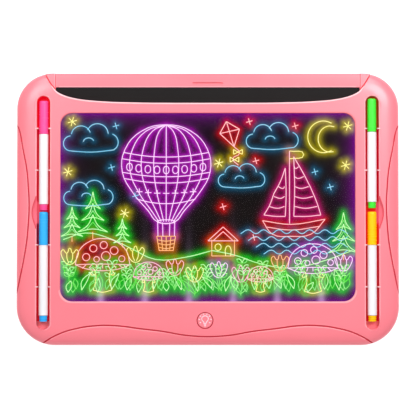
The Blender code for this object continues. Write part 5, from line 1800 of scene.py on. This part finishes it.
    def draw_sky(self) -> None:
        """A moon, clouds of round puffs on flat bases, and stars."""
        self.start(0, 0)
        self.ring(Tone.LEMON, (106, 66), (14.5, 14.5), 10, 60, 240)
        self.ring(Tone.LEMON, (112, 64), (11.0, 12.0), 8, 70, 216)
        puffs = ((-17, 0, 7, 95, 180), (-8, 7, 9, 20, 150), (7, 8, 10, 5, 150), (18, 1, 8, -60, 130))
        for x, y, size in ((-108, 60, 1.0), (30, 26, 0.85), (58, 62, 0.95), (-110, 10, 0.9)):
            self.start(x, y, size)
            for across, up, radius, first, sweep in puffs:
                self.ring(Tone.SKY, (across, up), (radius, radius), 6, first, sweep)
            self.line(Tone.SKY, (-17, -7), (2, -8), (22, -6))
            self.ring(Tone.SKY, (-1, 1), (5, 4), 5, 20, 150)
        stars = (
            (-124, 80), (-84, 76), (38, 80), (10, 42), (98, 34), (80, 76), (126, 40), (112, 20), (14, 2),
            (128, 76), (-88, 38), (44, 44), (-76, -4), (-66, 12), (42, -26), (-128, 34),
        )
        tones = (Tone.LEMON, Tone.SKY, Tone.CORAL)
        for index, (x, y) in enumerate(stars):
            rays, reach = (2, 3.0) if index % 3 else (3, 4.2)
            self.start(x, y, reach)
            for turn in range(rays):
                angle = math.radians(turn * 180 / rays + 15)
                dx, dy = math.cos(angle), math.sin(angle)
                self.line(tones[index % 3], (-dx, -dy), (dx, dy))

    def draw_kite(self) -> None:
        """A kite with a tail of bows."""
        self.start(20.0, 68.0)
        top, right, low, left = (-3, 12), (9, 5), (4, -11), (-9, 1)
        self.edges(Tone.CORAL, top, right, low, left)
        for points in ((top, low), (right, left), (low, (9, -17), (3, -22), (8, -28))):
            self.line(Tone.CORAL, *points)
        for x, y in ((7.6, -16), (4.4, -23)):
            for out in (-4, 4):
                self.edges(Tone.LEMON, (x, y), (x + out, y + 2.4), (x + out, y - 2))

    def draw_hills(self) -> None:
        """Rolling ground with fir trees."""
        self.start(0, 0)
        ridge = (-132, -28), (-112, -22), (-92, -26), (-70, -36), (-48, -46), (-20, -44), (4, -38)
        self.line(Tone.SPROUT, *ridge)
        self.line(Tone.SPROUT, (4, -38), (24, -42), (48, -50), (76, -54), (104, -48), (132, -38))
        for x, y, size in ((-124, -25, 1.1), (-105, -21, 1.5), (124, -40, 1.5), (-78, -31, 0.9)):
            self.start(x, y, size)
            for level in range(3):
                half, base = 9.0 - level * 2.2, level * 7.0
                for out in (-half, half):
                    self.line(Tone.SPROUT, (out, base), (out * 0.35, base + 4), (0, base + 10.5))
                    self.line(Tone.LEAF, (out * 0.5, base + 1 / size), (0, base + 6))
                self.line(Tone.SPROUT, (-half, base), (0, base + 1.8), (half, base))
            self.line(Tone.AMBER, (0, 0), (0, -4.5))

    def draw_house(self) -> None:
        """A small house with a door and a window."""
        self.start(14.0, -28.0, 1.15)
        self.edges(Tone.AMBER, (-9, 0), (-9, -13), (9, -13), (9, 0), closed=False)
        for sign in (-1, 1):
            self.line(Tone.CORAL, (sign * 12, -1), (0, 10))
            self.line(Tone.CORAL, (sign * 8, -1), (0, 6.4))
        self.line(Tone.CORAL, (-12, -1), (12, -1))
        self.ring(Tone.LEMON, (-4, -6), (2.4, 2.6), 6)
        self.line(Tone.LEMON, (2, -13), (2, -7), (4, -5), (6, -7), (6, -13))

    def draw_meadow(self) -> None:
        """Grass, leaves, tulips and toadstools along the lower edge."""
        chance = random.Random(self.seed)
        for index in range(60):
            x = -129 + 258 * (index + chance.random()) / 60
            height, lean = 9 + 11 * chance.random(), chance.uniform(-9, 9)
            self.start(x, -76.5 + 4 * chance.random())
            wide = 2.0 + chance.random()
            for out in (-wide, wide):
                tone = Tone.LEAF if index % 3 else Tone.SPROUT
                self.line(tone, (0, 0), (lean * 0.3 + out, height * 0.5), (lean, height))
        for index in range(15):
            self.start(-124 + index * 17.5 + chance.uniform(-3, 3), -70 + chance.uniform(-3, 3))
            self.draw_sprig(14 + 9 * chance.random(), chance.uniform(-5, 5))
        toadstools = (
            (-96, -51, 25, Tone.CORAL), (96, -54, 23, Tone.ORCHID), (-54, -62, 14, Tone.ROSE),
            (48, -64, 12, Tone.CORAL),
        )
        for x, y, size, tone in toadstools:
            self.start(x, y, size)
            self.draw_toadstool(tone)
        tulips = (
            (-126, -44, Tone.LEMON), (-66, -42, Tone.LEMON), (-30, -54, Tone.CORAL), (-12, -60, Tone.LEMON),
            (10, -56, Tone.ORCHID), (30, -60, Tone.ROSE), (66, -50, Tone.AMBER), (124, -50, Tone.ORCHID),
        )
        for x, y, tone in tulips:
            self.start(x, y, 1.35)
            self.draw_tulip(tone)

    def draw_sprig(self, height: float, lean: float) -> None:
        """A stem with pairs of small leaves.

        Args:
            height: its height.
            lean: how far its tip leans to the right.
        """
        self.line(Tone.LEAF, (0, 0), (lean * 0.4, height * 0.5), (lean, height))
        for share in (0.35, 0.6, 0.85):
            x, y = lean * share * share, height * share
            for sign in (-1, 1):
                tip = (x + sign * 5.0, y + 3.6)
                self.line(Tone.SPROUT, (x, y), (x + sign * 2.0, y + 3.4), tip)
                self.line(Tone.LEAF, (x, y), (x + sign * 3.4, y + 0.6), tip)

    def draw_toadstool(self, tone: Tone) -> None:
        """A toadstool with a spotted cap.

        Args:
            tone: the cap's ink.
        """
        self.line(tone, (-1, 0), (-0.86, 0.52), (-0.42, 0.88), (0, 0.96), (0.42, 0.88), (0.86, 0.52), (1, 0))
        for level in (-0.17, 0.02):
            self.line(tone, (-1, 0), (-0.5, level), (0.5, level), (1, 0))
        for sign in (-1, 1):
            self.line(Tone.LEMON, (sign * 0.30, -0.16), (sign * 0.24, -0.5), (sign * 0.34, -0.92))
            self.line(Tone.LEMON, (sign * 0.36, -0.22), (sign * 0.42, -0.36), (sign * 0.26, -0.34))
        self.line(Tone.LEMON, (-0.34, -0.92), (0, -1), (0.34, -0.92))
        spots = (
            (-0.60, 0.28, 0.13), (-0.34, 0.60, 0.13), (0.04, 0.72, 0.13), (0.42, 0.52, 0.14),
            (0.70, 0.22, 0.11), (0.12, 0.32, 0.16), (-0.22, 0.20, 0.10),
        )
        for x, y, radius in spots:
            self.ring(tone, (x, y), (radius, radius), 7)
        for share in (-0.75, -0.5, -0.25, 0.0, 0.25, 0.5, 0.75):
            self.line(tone, (share, -0.13), (share * 0.8, 0.0))

    def draw_tulip(self, tone: Tone) -> None:
        """A tulip with its stem and two leaves.

        Args:
            tone: the cup's ink.
        """
        cup = (0, -5), (-4.4, -1.5), (-4.8, 5), (-2, 2.6), (0, 6), (2, 2.6), (4.8, 5), (4.4, -1.5)
        self.line(tone, *cup, closed=True)
        for sign in (-1, 1):
            self.line(tone, (sign * 2.0, 2.4), (sign * 1.8, -1), (sign * 0.6, -4))
            self.line(Tone.LEAF, (0, -13), (sign * 3.4, -10), (sign * 4.4, -6))
            self.line(Tone.LEAF, (0, -12), (sign * 1.6, -9), (sign * 4.4, -6))
        self.line(Tone.LEAF, (0, -5), (0.6, -9), (0, -14))


@dataclass
class Screen:
    """The clear panel, the black card and the ink drawing on the panel."""

    panel_half: Plan = (0.1415, 0.09025)
    panel_middle: Plan = (0.0, 0.00135)
    cells: tuple[int, int] = (300, 192)
    glow_reach: float = 0.0030
    glow_fall: float = 1.5
    glow_step: float = 0.0012
    line_radius: float = 0.00038
    line_height: float = 0.28
    ink_roughness: float = 0.5
    card_corner: float = 0.0006
    drawing: Drawing = field(default_factory=Drawing)

    def build(self) -> None:
        """Draws the picture, lights the panel around it and lays the card behind it."""
        self.drawing.build()
        for tone, lines in self.drawing.lines.items():
            name = f"ink_{tone.name.lower()}"
            ink = strokes(name, lines, self.line_radius, 1, self.line_height)
            Ink(name, tone.line, self.ink_roughness).put(ink)
            keep(ink, "board", "clear_acrylic")
        self.build_panel()
        low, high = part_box("backing_card")
        middle, half = (0, (low.y + high.y) / 2), (high.x, (high.y - low.y) / 2)
        card = slab("card_sheet", middle, half, low.z, high.z, self.card_corner, 2)
        CARD.put(card)
        keep(finish_faces(card), "backing_card", "card_black", "backing_card")

    def build_panel(self) -> None:
        """The panel, its upper face divided finely enough to hold the glow of the ink."""
        take_none()
        across, along = self.cells
        middle = (*self.panel_middle, SIZES.panel_high)
        bpy.ops.mesh.primitive_grid_add(x_subdivisions=across, y_subdivisions=along, size=2, location=middle)
        panel = bpy.context.active_object
        panel.name = "lit_panel"
        panel.scale = (*self.panel_half, 1)
        settle(panel)
        with editing(panel):
            raise_by(SIZES.panel_low - SIZES.panel_high)
            face_outwards()
        with editing(panel, test=flat_at(SIZES.panel_low, -1)):
            bpy.ops.mesh.dissolve_faces()
        self.light(panel)
        PANEL.put(panel)
        keep(panel, "board", "clear_acrylic", "drawing_panel")

    def near(self, lines: Sequence[Stroke]) -> KDTree:
        """A search tree of places along the straight stretches of lines, at height 0.

        Args:
            lines: the lines.

        Returns:
            The tree.
        """
        places = []
        for line in lines:
            knots = [Vector((x, y, 0)) for x, y, _ in line.points]
            for first, second in zip(knots, knots[1:] + knots[:1] * line.closed):
                count = max(1, int((second - first).length / self.glow_step))
                places += [first.lerp(second, index / count) for index in range(count + 1)]
        tree = KDTree(len(places))
        for index, place in enumerate(places):
            tree.insert(place, index)
        tree.balance()
        return tree

    def light(self, panel: Piece) -> None:
        """Writes the glow around the ink into the panel's colour attribute.

        Args:
            panel: the panel.
        """
        trees = {tone: self.near(lines) for tone, lines in self.drawing.lines.items()}
        glow = panel.data.color_attributes.new("ink_glow", "FLOAT_COLOR", "POINT")
        for vertex, cell in zip(panel.data.vertices, glow.data):
            total, whole = Vector((0, 0, 0)), 0.0
            if vertex.co.z > SIZES.panel_high - TINY:
                for tone, tree in trees.items():
                    _, _, distance = tree.find((vertex.co.x, vertex.co.y, 0))
                    share = math.exp(-((distance / self.glow_reach) ** self.glow_fall))
                    total += Vector(tone.glow) * share
                    whole += share
            cell.color = (*(total / max(1.0, whole)), 1.0)


# Pens


PENS: Sequence[tuple[str, Color, float]] = (
    ("pen_pink", (1.0, 0.085, 0.33), -0.0008),
    ("pen_green", (0.065, 0.86, 0.050), 0.0013),
    ("pen_blue", (0.034, 0.45, 0.96), -0.0004),
    ("pen_yellow", (1.0, 0.58, 0.002), -0.0003),
)


@dataclass
class Pen:
    """A capped marker in its slot, cap upwards. Its parts lie a little way along from their nodes."""

    name: str
    color: Color
    shift: float
    cap_radius: float = 0.0042
    barrel_radius: float = 0.0043
    plug_radius: float = 0.0037
    wall: float = 0.0007

    def build(self) -> None:
        """The cap, the barrel and the end plug, placed over their nodes in the frame."""
        gloss = Moulded(self.name + "_gloss", self.color, 0.26, scuffs=0.08, specular=0.3)
        cap, barrel, plug = self.cap(), self.barrel(), self.plug()
        gloss.put(cap, plug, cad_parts[self.name + "_nib"])
        BARREL.put(barrel)
        FELT.put(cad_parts[self.name + "_reservoir"])
        keep(finish_faces(cap), self.name, self.name + "_plastic", self.name + "_cap")
        keep(finish_faces(plug), self.name, self.name + "_plastic", self.name + "_plug")
        keep(finish_faces(barrel), self.name, "barrel_white", self.name + "_barrel")

    def box(self, part: str) -> tuple[Vector, Vector]:
        """A part's box in the frame."""
        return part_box(f"{self.name}_{part}")

    def turn(self, part: str, form: str, profile: Sequence[Plan]) -> Piece:
        """A round part, laid over its node.

        Args:
            part: the part's node, without the pen's name.
            form: the last word of the new object's name.
            profile: pairs of radius and length, from its lower end.

        Returns:
            The new object.
        """
        low, high = self.box(part)
        start = ((low.x + high.x) / 2, low.y + self.shift, (low.z + high.z) / 2)
        return turned(f"{self.name}_{part}_{form}", profile, start, lean=(-90, 0, 0), sides=40)

    def cap(self) -> Piece:
        """The cap: open towards the barrel, rounded at its crown, with a shallow ring near its mouth.

        Returns:
            The new object.
        """
        low, high = self.box("cap")
        long, r = high.y - low.y, self.cap_radius
        bore = r - self.wall
        return self.turn("cap", "shell", [
            (bore, long - 0.0020), (bore, 0.0001), (bore + 0.0001, 0), (r - 0.0002, 0), (r, 0.0002),
            (r, 0.0016), (r - 0.0002, 0.0018), (r - 0.0002, 0.0023), (r, 0.0025), (r * 0.985, long - 0.0022),
            (r * 0.96, long - 0.0010), (r * 0.88, long - 0.0003), (r * 0.74, long),
        ])

    def barrel(self) -> Piece:
        """The barrel with its neck inside the cap.

        Returns:
            The new object.
        """
        low, high = self.box("barrel")
        seam = self.box("cap")[0].y - low.y - SIZES.seam
        long, r = high.y - low.y, self.barrel_radius
        return self.turn("barrel", "shell", [
            (0.0033, 0.0040), (0.0033, 0.0001), (r - 0.0002, 0), (r, 0.0002), (r, 0.0020),
            (r - 0.0001, 0.0022), (r - 0.0001, 0.0025), (r, 0.0027), (r, seam - 0.0003), (r - 0.0002, seam),
            (0.0031, seam), (0.0031, long - 0.0050), (0.0021, long),
        ])

    def plug(self) -> Piece:
        """The stepped plug with its two ring lines.

        Returns:
            The new object.
        """
        r, show = self.plug_radius, self.box("barrel")[0].y - self.box("plug")[0].y - SIZES.seam
        return self.turn("plug", "cap", [
            (r - 0.0008, 0), (r - 0.0003, 0.0002), (r - 0.0001, 0.0007), (r - 0.0001, 0.0016),
            (r - 0.0004, 0.0018), (r - 0.0004, 0.0021), (r, 0.0023), (r, 0.0032), (r - 0.0003, 0.0034),
            (r - 0.0003, 0.0037), (r, 0.0039), (r, show), (0.0028, show), (0.0028, show + 0.0036),
        ])


# Button


@dataclass
class LampButton:
    """The round light button with its raised lamp symbol."""

    flange: float = 0.0012
    flange_thick: float = 0.0013
    stem: float = 0.0020
    dish: float = 0.0003
    line: float = 0.00052
    line_height: float = 0.6
    symbol_scale: float = 1.5
    symbol_drop: float = 0.3
    bulb: Sequence[Plan] = (
        (-0.7, -1.5), (-0.8, -0.7), (-1.7, 0.3), (-2.0, 1.4), (-1.4, 2.6), (0, 3.1), (1.4, 2.6), (2.0, 1.4),
        (1.7, 0.3), (0.8, -0.7), (0.7, -1.5),
    )
    base: Sequence[Plan] = ((0.9, -1.5), (0.7, -2.4), (0.3, -3.2))

    def build(self) -> None:
        """The button and its symbol, which ride together."""
        low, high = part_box("light_button")
        r, long = SIZES.button_radius, high.z - low.z
        under = SIZES.face - SIZES.bezel - SIZES.seam - low.z
        thick, face = self.flange_thick, long - self.dish
        profile = [
            (self.stem, 0), (self.stem, under - thick), (r + self.flange, under - thick),
            (r + self.flange, under), (r, under), (r, long - 0.0007), (r - 0.0002, face),
            (r - 0.0007, long - 0.0001), (r - 0.0014, long - 0.0001), (r - 0.0019, face), (0.0010, face),
        ]
        button = turned("light_button_cap", profile, (*SIZES.button, low.z), sides=64)
        PINK.put(button)
        keep(finish_faces(button), "light_button", "shell_pink", "light_button")
        symbol = self.symbol(high.z - self.dish)
        PALE_ICON.put(symbol)
        keep(symbol, "light_button", "shell_pink")

    def symbol(self, height: float) -> Piece:
        """The lamp symbol: a bulb, its base and eight rays.

        Args:
            height: the face that it stands on.

        Returns:
            The new object.
        """
        lines = [self.bulb, *([(-half, level), (half, level)] for half, level in self.base)]
        for turn in range(-36, 217, 36):
            x, y = math.cos(math.radians(turn)), math.sin(math.radians(turn))
            lines.append([(x * 3.0, 1.0 + y * 2.9), (x * 4.1, 1.0 + y * 3.7)])
        scale, (x, y) = self.symbol_scale * MM, SIZES.button
        drop = self.symbol_drop
        drawn = [Stroke([(x + a * scale, y + (b - drop) * scale, height) for a, b in line]) for line in lines]
        return strokes("lamp_symbol", drawn, self.line, 1, self.line_height)


# Back


def grip_cuts(half: Plan, low: float, depth: float, first: float, pitch: float, count: int) -> list[Piece]:
    """The cutters of a row of grip lines."""
    rows = [(0, first + index * pitch) for index in range(count)]
    return [slab("grip_cut", row, half, low - PAST, low + depth, 0.0005, 3) for row in rows]


@dataclass
class Stand:
    """The fold-out leg behind the board."""

    half: float = 0.0330
    low: float = 0.0017
    thick: float = 0.0028
    corner: float = 0.0100
    edge: float = 0.0006
    hub: float = 0.0022
    bore: float = 0.0013
    window_share: float = 0.52
    window_half: float = 0.029
    window_from: float = 0.020
    window_high: float = 0.004
    window_corner: float = 0.005
    grip_half: Plan = (0.0120, 0.0006)
    grip_from: float = 0.0060
    grip_pitch: float = 0.0026
    grip_count: int = 5

    def rod(self, name: str, radius: float, past: float) -> Piece:
        """A rod along the hinge's axis, which passes the leg on both sides."""
        profile = [(radius, 0), (radius, self.half * 2 + past * 2)]
        return turned(name, profile, (-self.half - past, SIZES.stand_pivot, SIZES.stand_axis), lean=(0, 90, 0))

    def build(self) -> None:
        """The leg with its window, hinge roll and grip lines."""
        pivot, end, low = SIZES.stand_pivot, SIZES.stand_end, self.low
        leg = block("stand_leg", (-self.half, end, low), (self.half, pivot, low + self.thick))
        bevel(leg, lambda a, b: upright(a, b) and a.y < end + TINY, self.corner, 12)
        bevel(leg, level_at(low), self.edge, 3, sharp=50)
        fuse(leg, self.rod("stand_roll", self.hub, 0))
        window = (self.half * self.window_share, self.window_half)
        middle = (0, pivot - self.window_from - window[1])
        opening = slab("window_cut", middle, window, low - PAST, low + self.window_high, self.window_corner, 8)
        cut(leg, opening, self.rod("bore_cut", self.bore, PAST * 2))
        first = end + self.grip_from
        cut(leg, *grip_cuts(self.grip_half, low, 0.0006, first, self.grip_pitch, self.grip_count))
        PINK.put(leg)
        keep(finish_faces(leg), "kickstand", "shell_pink", "kickstand")


@dataclass
class BatteryDoor:
    """The battery door with its tongue, its two hooks and its screw hole."""

    half: Plan = (0.02805, 0.01805)
    thick: float = 0.0018
    corner: float = 0.0008
    edge: float = 0.0004
    tongue: Plan = (0.0065, 0.0072)
    tongue_corner: float = 0.0018
    screw_y: float = 0.01035
    pad: Plan = (0.0034, 0.0022)
    pad_rise: float = 0.0008
    hole: Sequence[Plan] = (
        (0.0028, 0), (0.0028, 0.0028), (SIZES.screw_hole, 0.0028), (SIZES.screw_hole, 0.006),
    )
    hook_x: float = 0.015
    hook_half: float = 0.003
    riser: Sequence[Plan] = ((-0.0012, 0.0023), (-0.0003, 0.0050))
    tab: Sequence[Plan] = ((-0.0006, 0.0038), (0.0034, 0.0047))
    grip_half: Plan = (0.0080, 0.0006)
    grip_from: float = 0.0040
    grip_pitch: float = 0.0028
    grip_count: int = 4

    def build(self) -> None:
        """The whole door."""
        low, top, y = SIZES.back, SIZES.back + self.thick, SIZES.bay_y
        door = slab("battery_door_plate", (0, y), self.half, low, top, self.corner, 3)
        bevel(door, level_at(low), self.edge, 2)
        tongue = door_tongue("tongue", y - self.half[1], self.tongue, low, top, (self.tongue_corner, 5))
        radius, high = self.pad
        pad = turned("pad", [(radius, 0), (radius, high)], (0, self.screw_y, low + self.pad_rise))
        fuse(door, tongue, pad)
        hinge_y = y + SIZES.bay_half[1]
        for x in (-self.hook_x, self.hook_x):
            for part, ends in (("riser", self.riser), ("tab", self.tab)):
                (near, under), (far, over) = ends
                corner = (x - self.hook_half, hinge_y + near, under)
                fuse(door, block(part, corner, (x + self.hook_half, hinge_y + far, over)))
        cut(door, turned("hole", self.hole, (0, self.screw_y, low - PAST)))
        first = y + self.grip_from
        cut(door, *grip_cuts(self.grip_half, low, 0.0005, first, self.grip_pitch, self.grip_count))
        PINK.put(door)
        keep(finish_faces(door), "battery_door", "shell_pink", "battery_door")


@dataclass
class Fasteners:
    """Screws with cross recesses, and the rubber feet."""

    head: float = 0.0025
    head_tall: float = 0.0018
    door_head_tall: float = 0.00135
    shank: float = 0.00125
    turns: int = 8
    cross_reach: float = 0.62
    cross_half: float = 0.00028
    cross_below: float = 0.0004
    foot_radius: float = 0.0060

    def build(self) -> None:
        """All screws and feet."""
        for place in ("top", "side", "bottom", "middle"):
            for side in Side:
                self.screw(f"case_screw_{place}_{side.word}", "board", self.head_tall)
        self.screw("battery_door_screw", "battery_door_screw", self.door_head_tall)
        for side in Side:
            self.screw(f"pcb_screw_{side.word}", "board", self.head_tall)
        for end in ("top", "bottom"):
            for side in Side:
                self.foot(f"rubber_foot_{end}_{side.word}")

    def screw(self, node: str, body: str, tall: float) -> None:
        """One screw with a domed head and a cross recess.

        Args:
            node: the frame's node that it stands for.
            body: the body that it rides on.
            tall: the height of its head.
        """
        low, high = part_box(node)
        x, y, long = (low.x + high.x) / 2, (low.y + high.y) / 2, high.z - low.z
        dome = (0.45, 0), (0.8, 0.16), (0.97, 0.45), (1, 1)
        profile = [(self.head * wide, tall * up) for wide, up in dome]
        profile += [(self.shank, tall)]
        thread = long - tall - self.shank
        for index in range(self.turns):
            start = tall + thread * (index + 0.15) / self.turns
            profile += [(self.shank * 0.80, start), (self.shank, start + thread * 0.4 / self.turns)]
        profile += [(self.shank * 0.8, long - self.shank), (0.0002, long)]
        piece = turned(node + "_turned", profile, (x, y, low.z), sides=20)
        reach, half = self.head * self.cross_reach, self.cross_half
        for angle in (45, 135):
            bar = block("cross", (-reach, -half, -self.cross_below), (reach, half, tall * self.cross_reach))
            bar.rotation_euler.z = math.radians(angle)
            bar.location = (x, y, low.z)
            cut(piece, settle(bar))
        STEEL.put(piece)
        keep(finish_faces(piece, 30), body, "steel", node)

    def foot(self, node: str) -> None:
        """One rubber foot with a rounded rim and a dished sole.

        Args:
            node: the frame's node that it stands for.
        """
        low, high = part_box(node)
        r, tall = self.foot_radius, high.z - low.z
        profile = [
            (0.0024, 0.0002), (0.0032, 0), (r - 0.0007, 0), (r - 0.0002, 0.0002), (r, 0.0007), (r, tall),
        ]
        piece = turned(node + "_pad", profile, ((low.x + high.x) / 2, (low.y + high.y) / 2, low.z))
        RUBBER.put(piece)
        keep(finish_faces(piece), "board", "foot_rubber", node)


@dataclass
class Inside:
    """The parts inside that keep their shapes from the frame."""

    finishes: dict[str, Finish] = field(default_factory=lambda: dict(INSIDE))

    def build(self) -> None:
        """Gives each part its finish."""
        for name, finish in self.finishes.items():
            finish.put(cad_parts[name])
            LOG.info("%s: %s", name, finish.name)


# Studio


@dataclass(frozen=True)
class PaleFloor(Finish):
    """An even floor that also shines by itself."""

    glow: float = 0.96

    def dress(self, wiring: Wiring) -> None:
        """White emission."""
        wiring.surface(Emission_Color=FULL, Emission_Strength=self.glow)


@dataclass(frozen=True)
class SoftBox:
    """One area light that looks at the board."""

    name: str
    place: Place
    size: Plan
    power: float

    def build(self) -> None:
        """The light."""
        bpy.ops.object.light_add(type="AREA", location=self.place)
        lamp = bpy.context.active_object
        lamp.name = self.name
        lamp.data.shape = "RECTANGLE"
        lamp.data.size, lamp.data.size_y = self.size
        lamp.data.energy = self.power
        lamp.rotation_mode = "QUATERNION"
        lamp.rotation_quaternion = (-Vector(self.place)).to_track_quat("-Z", "Y")


@dataclass
class Studio:
    """A pale floor, soft lights and the camera above the board."""

    distance: float = 1.39
    tilt: float = 1.6
    aim: Place = (0.0002, 0.0008, 0.0235)
    shown_width: float = 0.3795
    sensor: float = 36.0
    floor_size: float = 6
    floor_drop: float = 0.0002
    floor_finish: Finish = PaleFloor("pale_floor", (0.25, 0.25, 0.25), 0.9)
    boxes: Sequence[SoftBox] = (
        SoftBox("top_box", (0.0, 0.62, 0.55), (0.9, 0.30), 3.3),
        SoftBox("left_box", (-0.42, 0.42, 1.05), (0.34, 0.34), 3.0),
        SoftBox("right_box", (0.42, 0.40, 1.0), (0.36, 0.36), 5.0),
        SoftBox("front_box", (0.0, -0.90, 0.22), (1.3, 0.20), 0.8),
    )

    def build(self) -> None:
        """Sets the stage."""
        scene = bpy.context.scene
        scene.view_settings.view_transform = "Standard"
        scene.view_settings.look = "None"
        take_none()
        bpy.ops.mesh.primitive_plane_add(size=self.floor_size, location=(0, 0, -self.floor_drop))
        floor = bpy.context.active_object
        floor.name = "floor"
        self.floor_finish.put(floor)
        self.add_world()
        for box in self.boxes:
            box.build()
        self.add_camera()

    def add_world(self) -> None:
        """A pale world whose light changes with the height that it comes from."""
        world = bpy.data.worlds.new("studio")
        bpy.context.scene.world = world
        world.use_nodes = True
        wiring = Wiring(world.node_tree)
        way = wiring.node("TexCoord").outputs["Generated"]
        up = wiring.node("SeparateXYZ", Vector=way).outputs["Z"]
        fade = wiring.node("MapRange", Value=up, From_Min=0.35, From_Max=0.95, To_Min=0.35, To_Max=0.52)
        wiring.fill(world.node_tree.nodes["Background"], {"Strength": fade.outputs["Result"], "Color": FULL})

    def add_camera(self) -> None:
        """The camera, almost straight above the board."""
        camera = bpy.data.objects.new("camera", bpy.data.cameras.new("camera"))
        bpy.context.scene.collection.objects.link(camera)
        camera.data.lens = self.sensor * self.distance / self.shown_width
        camera.data.sensor_width = self.sensor
        lean = math.radians(self.tilt)
        back = Vector((0, -math.sin(lean), math.cos(lean)))
        camera.location = Vector(self.aim) + back * self.distance
        camera.rotation_mode = "QUATERNION"
        camera.rotation_quaternion = (-back).to_track_quat("-Z", "Y")
        bpy.context.scene.camera = camera


def main() -> None:
    """Builds the board and its stage."""
    logging.basicConfig(level=logging.INFO, format="%(name)s: %(message)s")
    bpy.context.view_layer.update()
    Studio().build()
    FrontCase().build()
    BackCase().build()
    CardStrip().build()
    Screen().build()
    for name, color, shift in PENS:
        Pen(name, color, shift).build()
    LampButton().build()
    Stand().build()
    BatteryDoor().build()
    Fasteners().build()
    Inside().build()
    take_none()


if __name__ == "__main__":
    main()
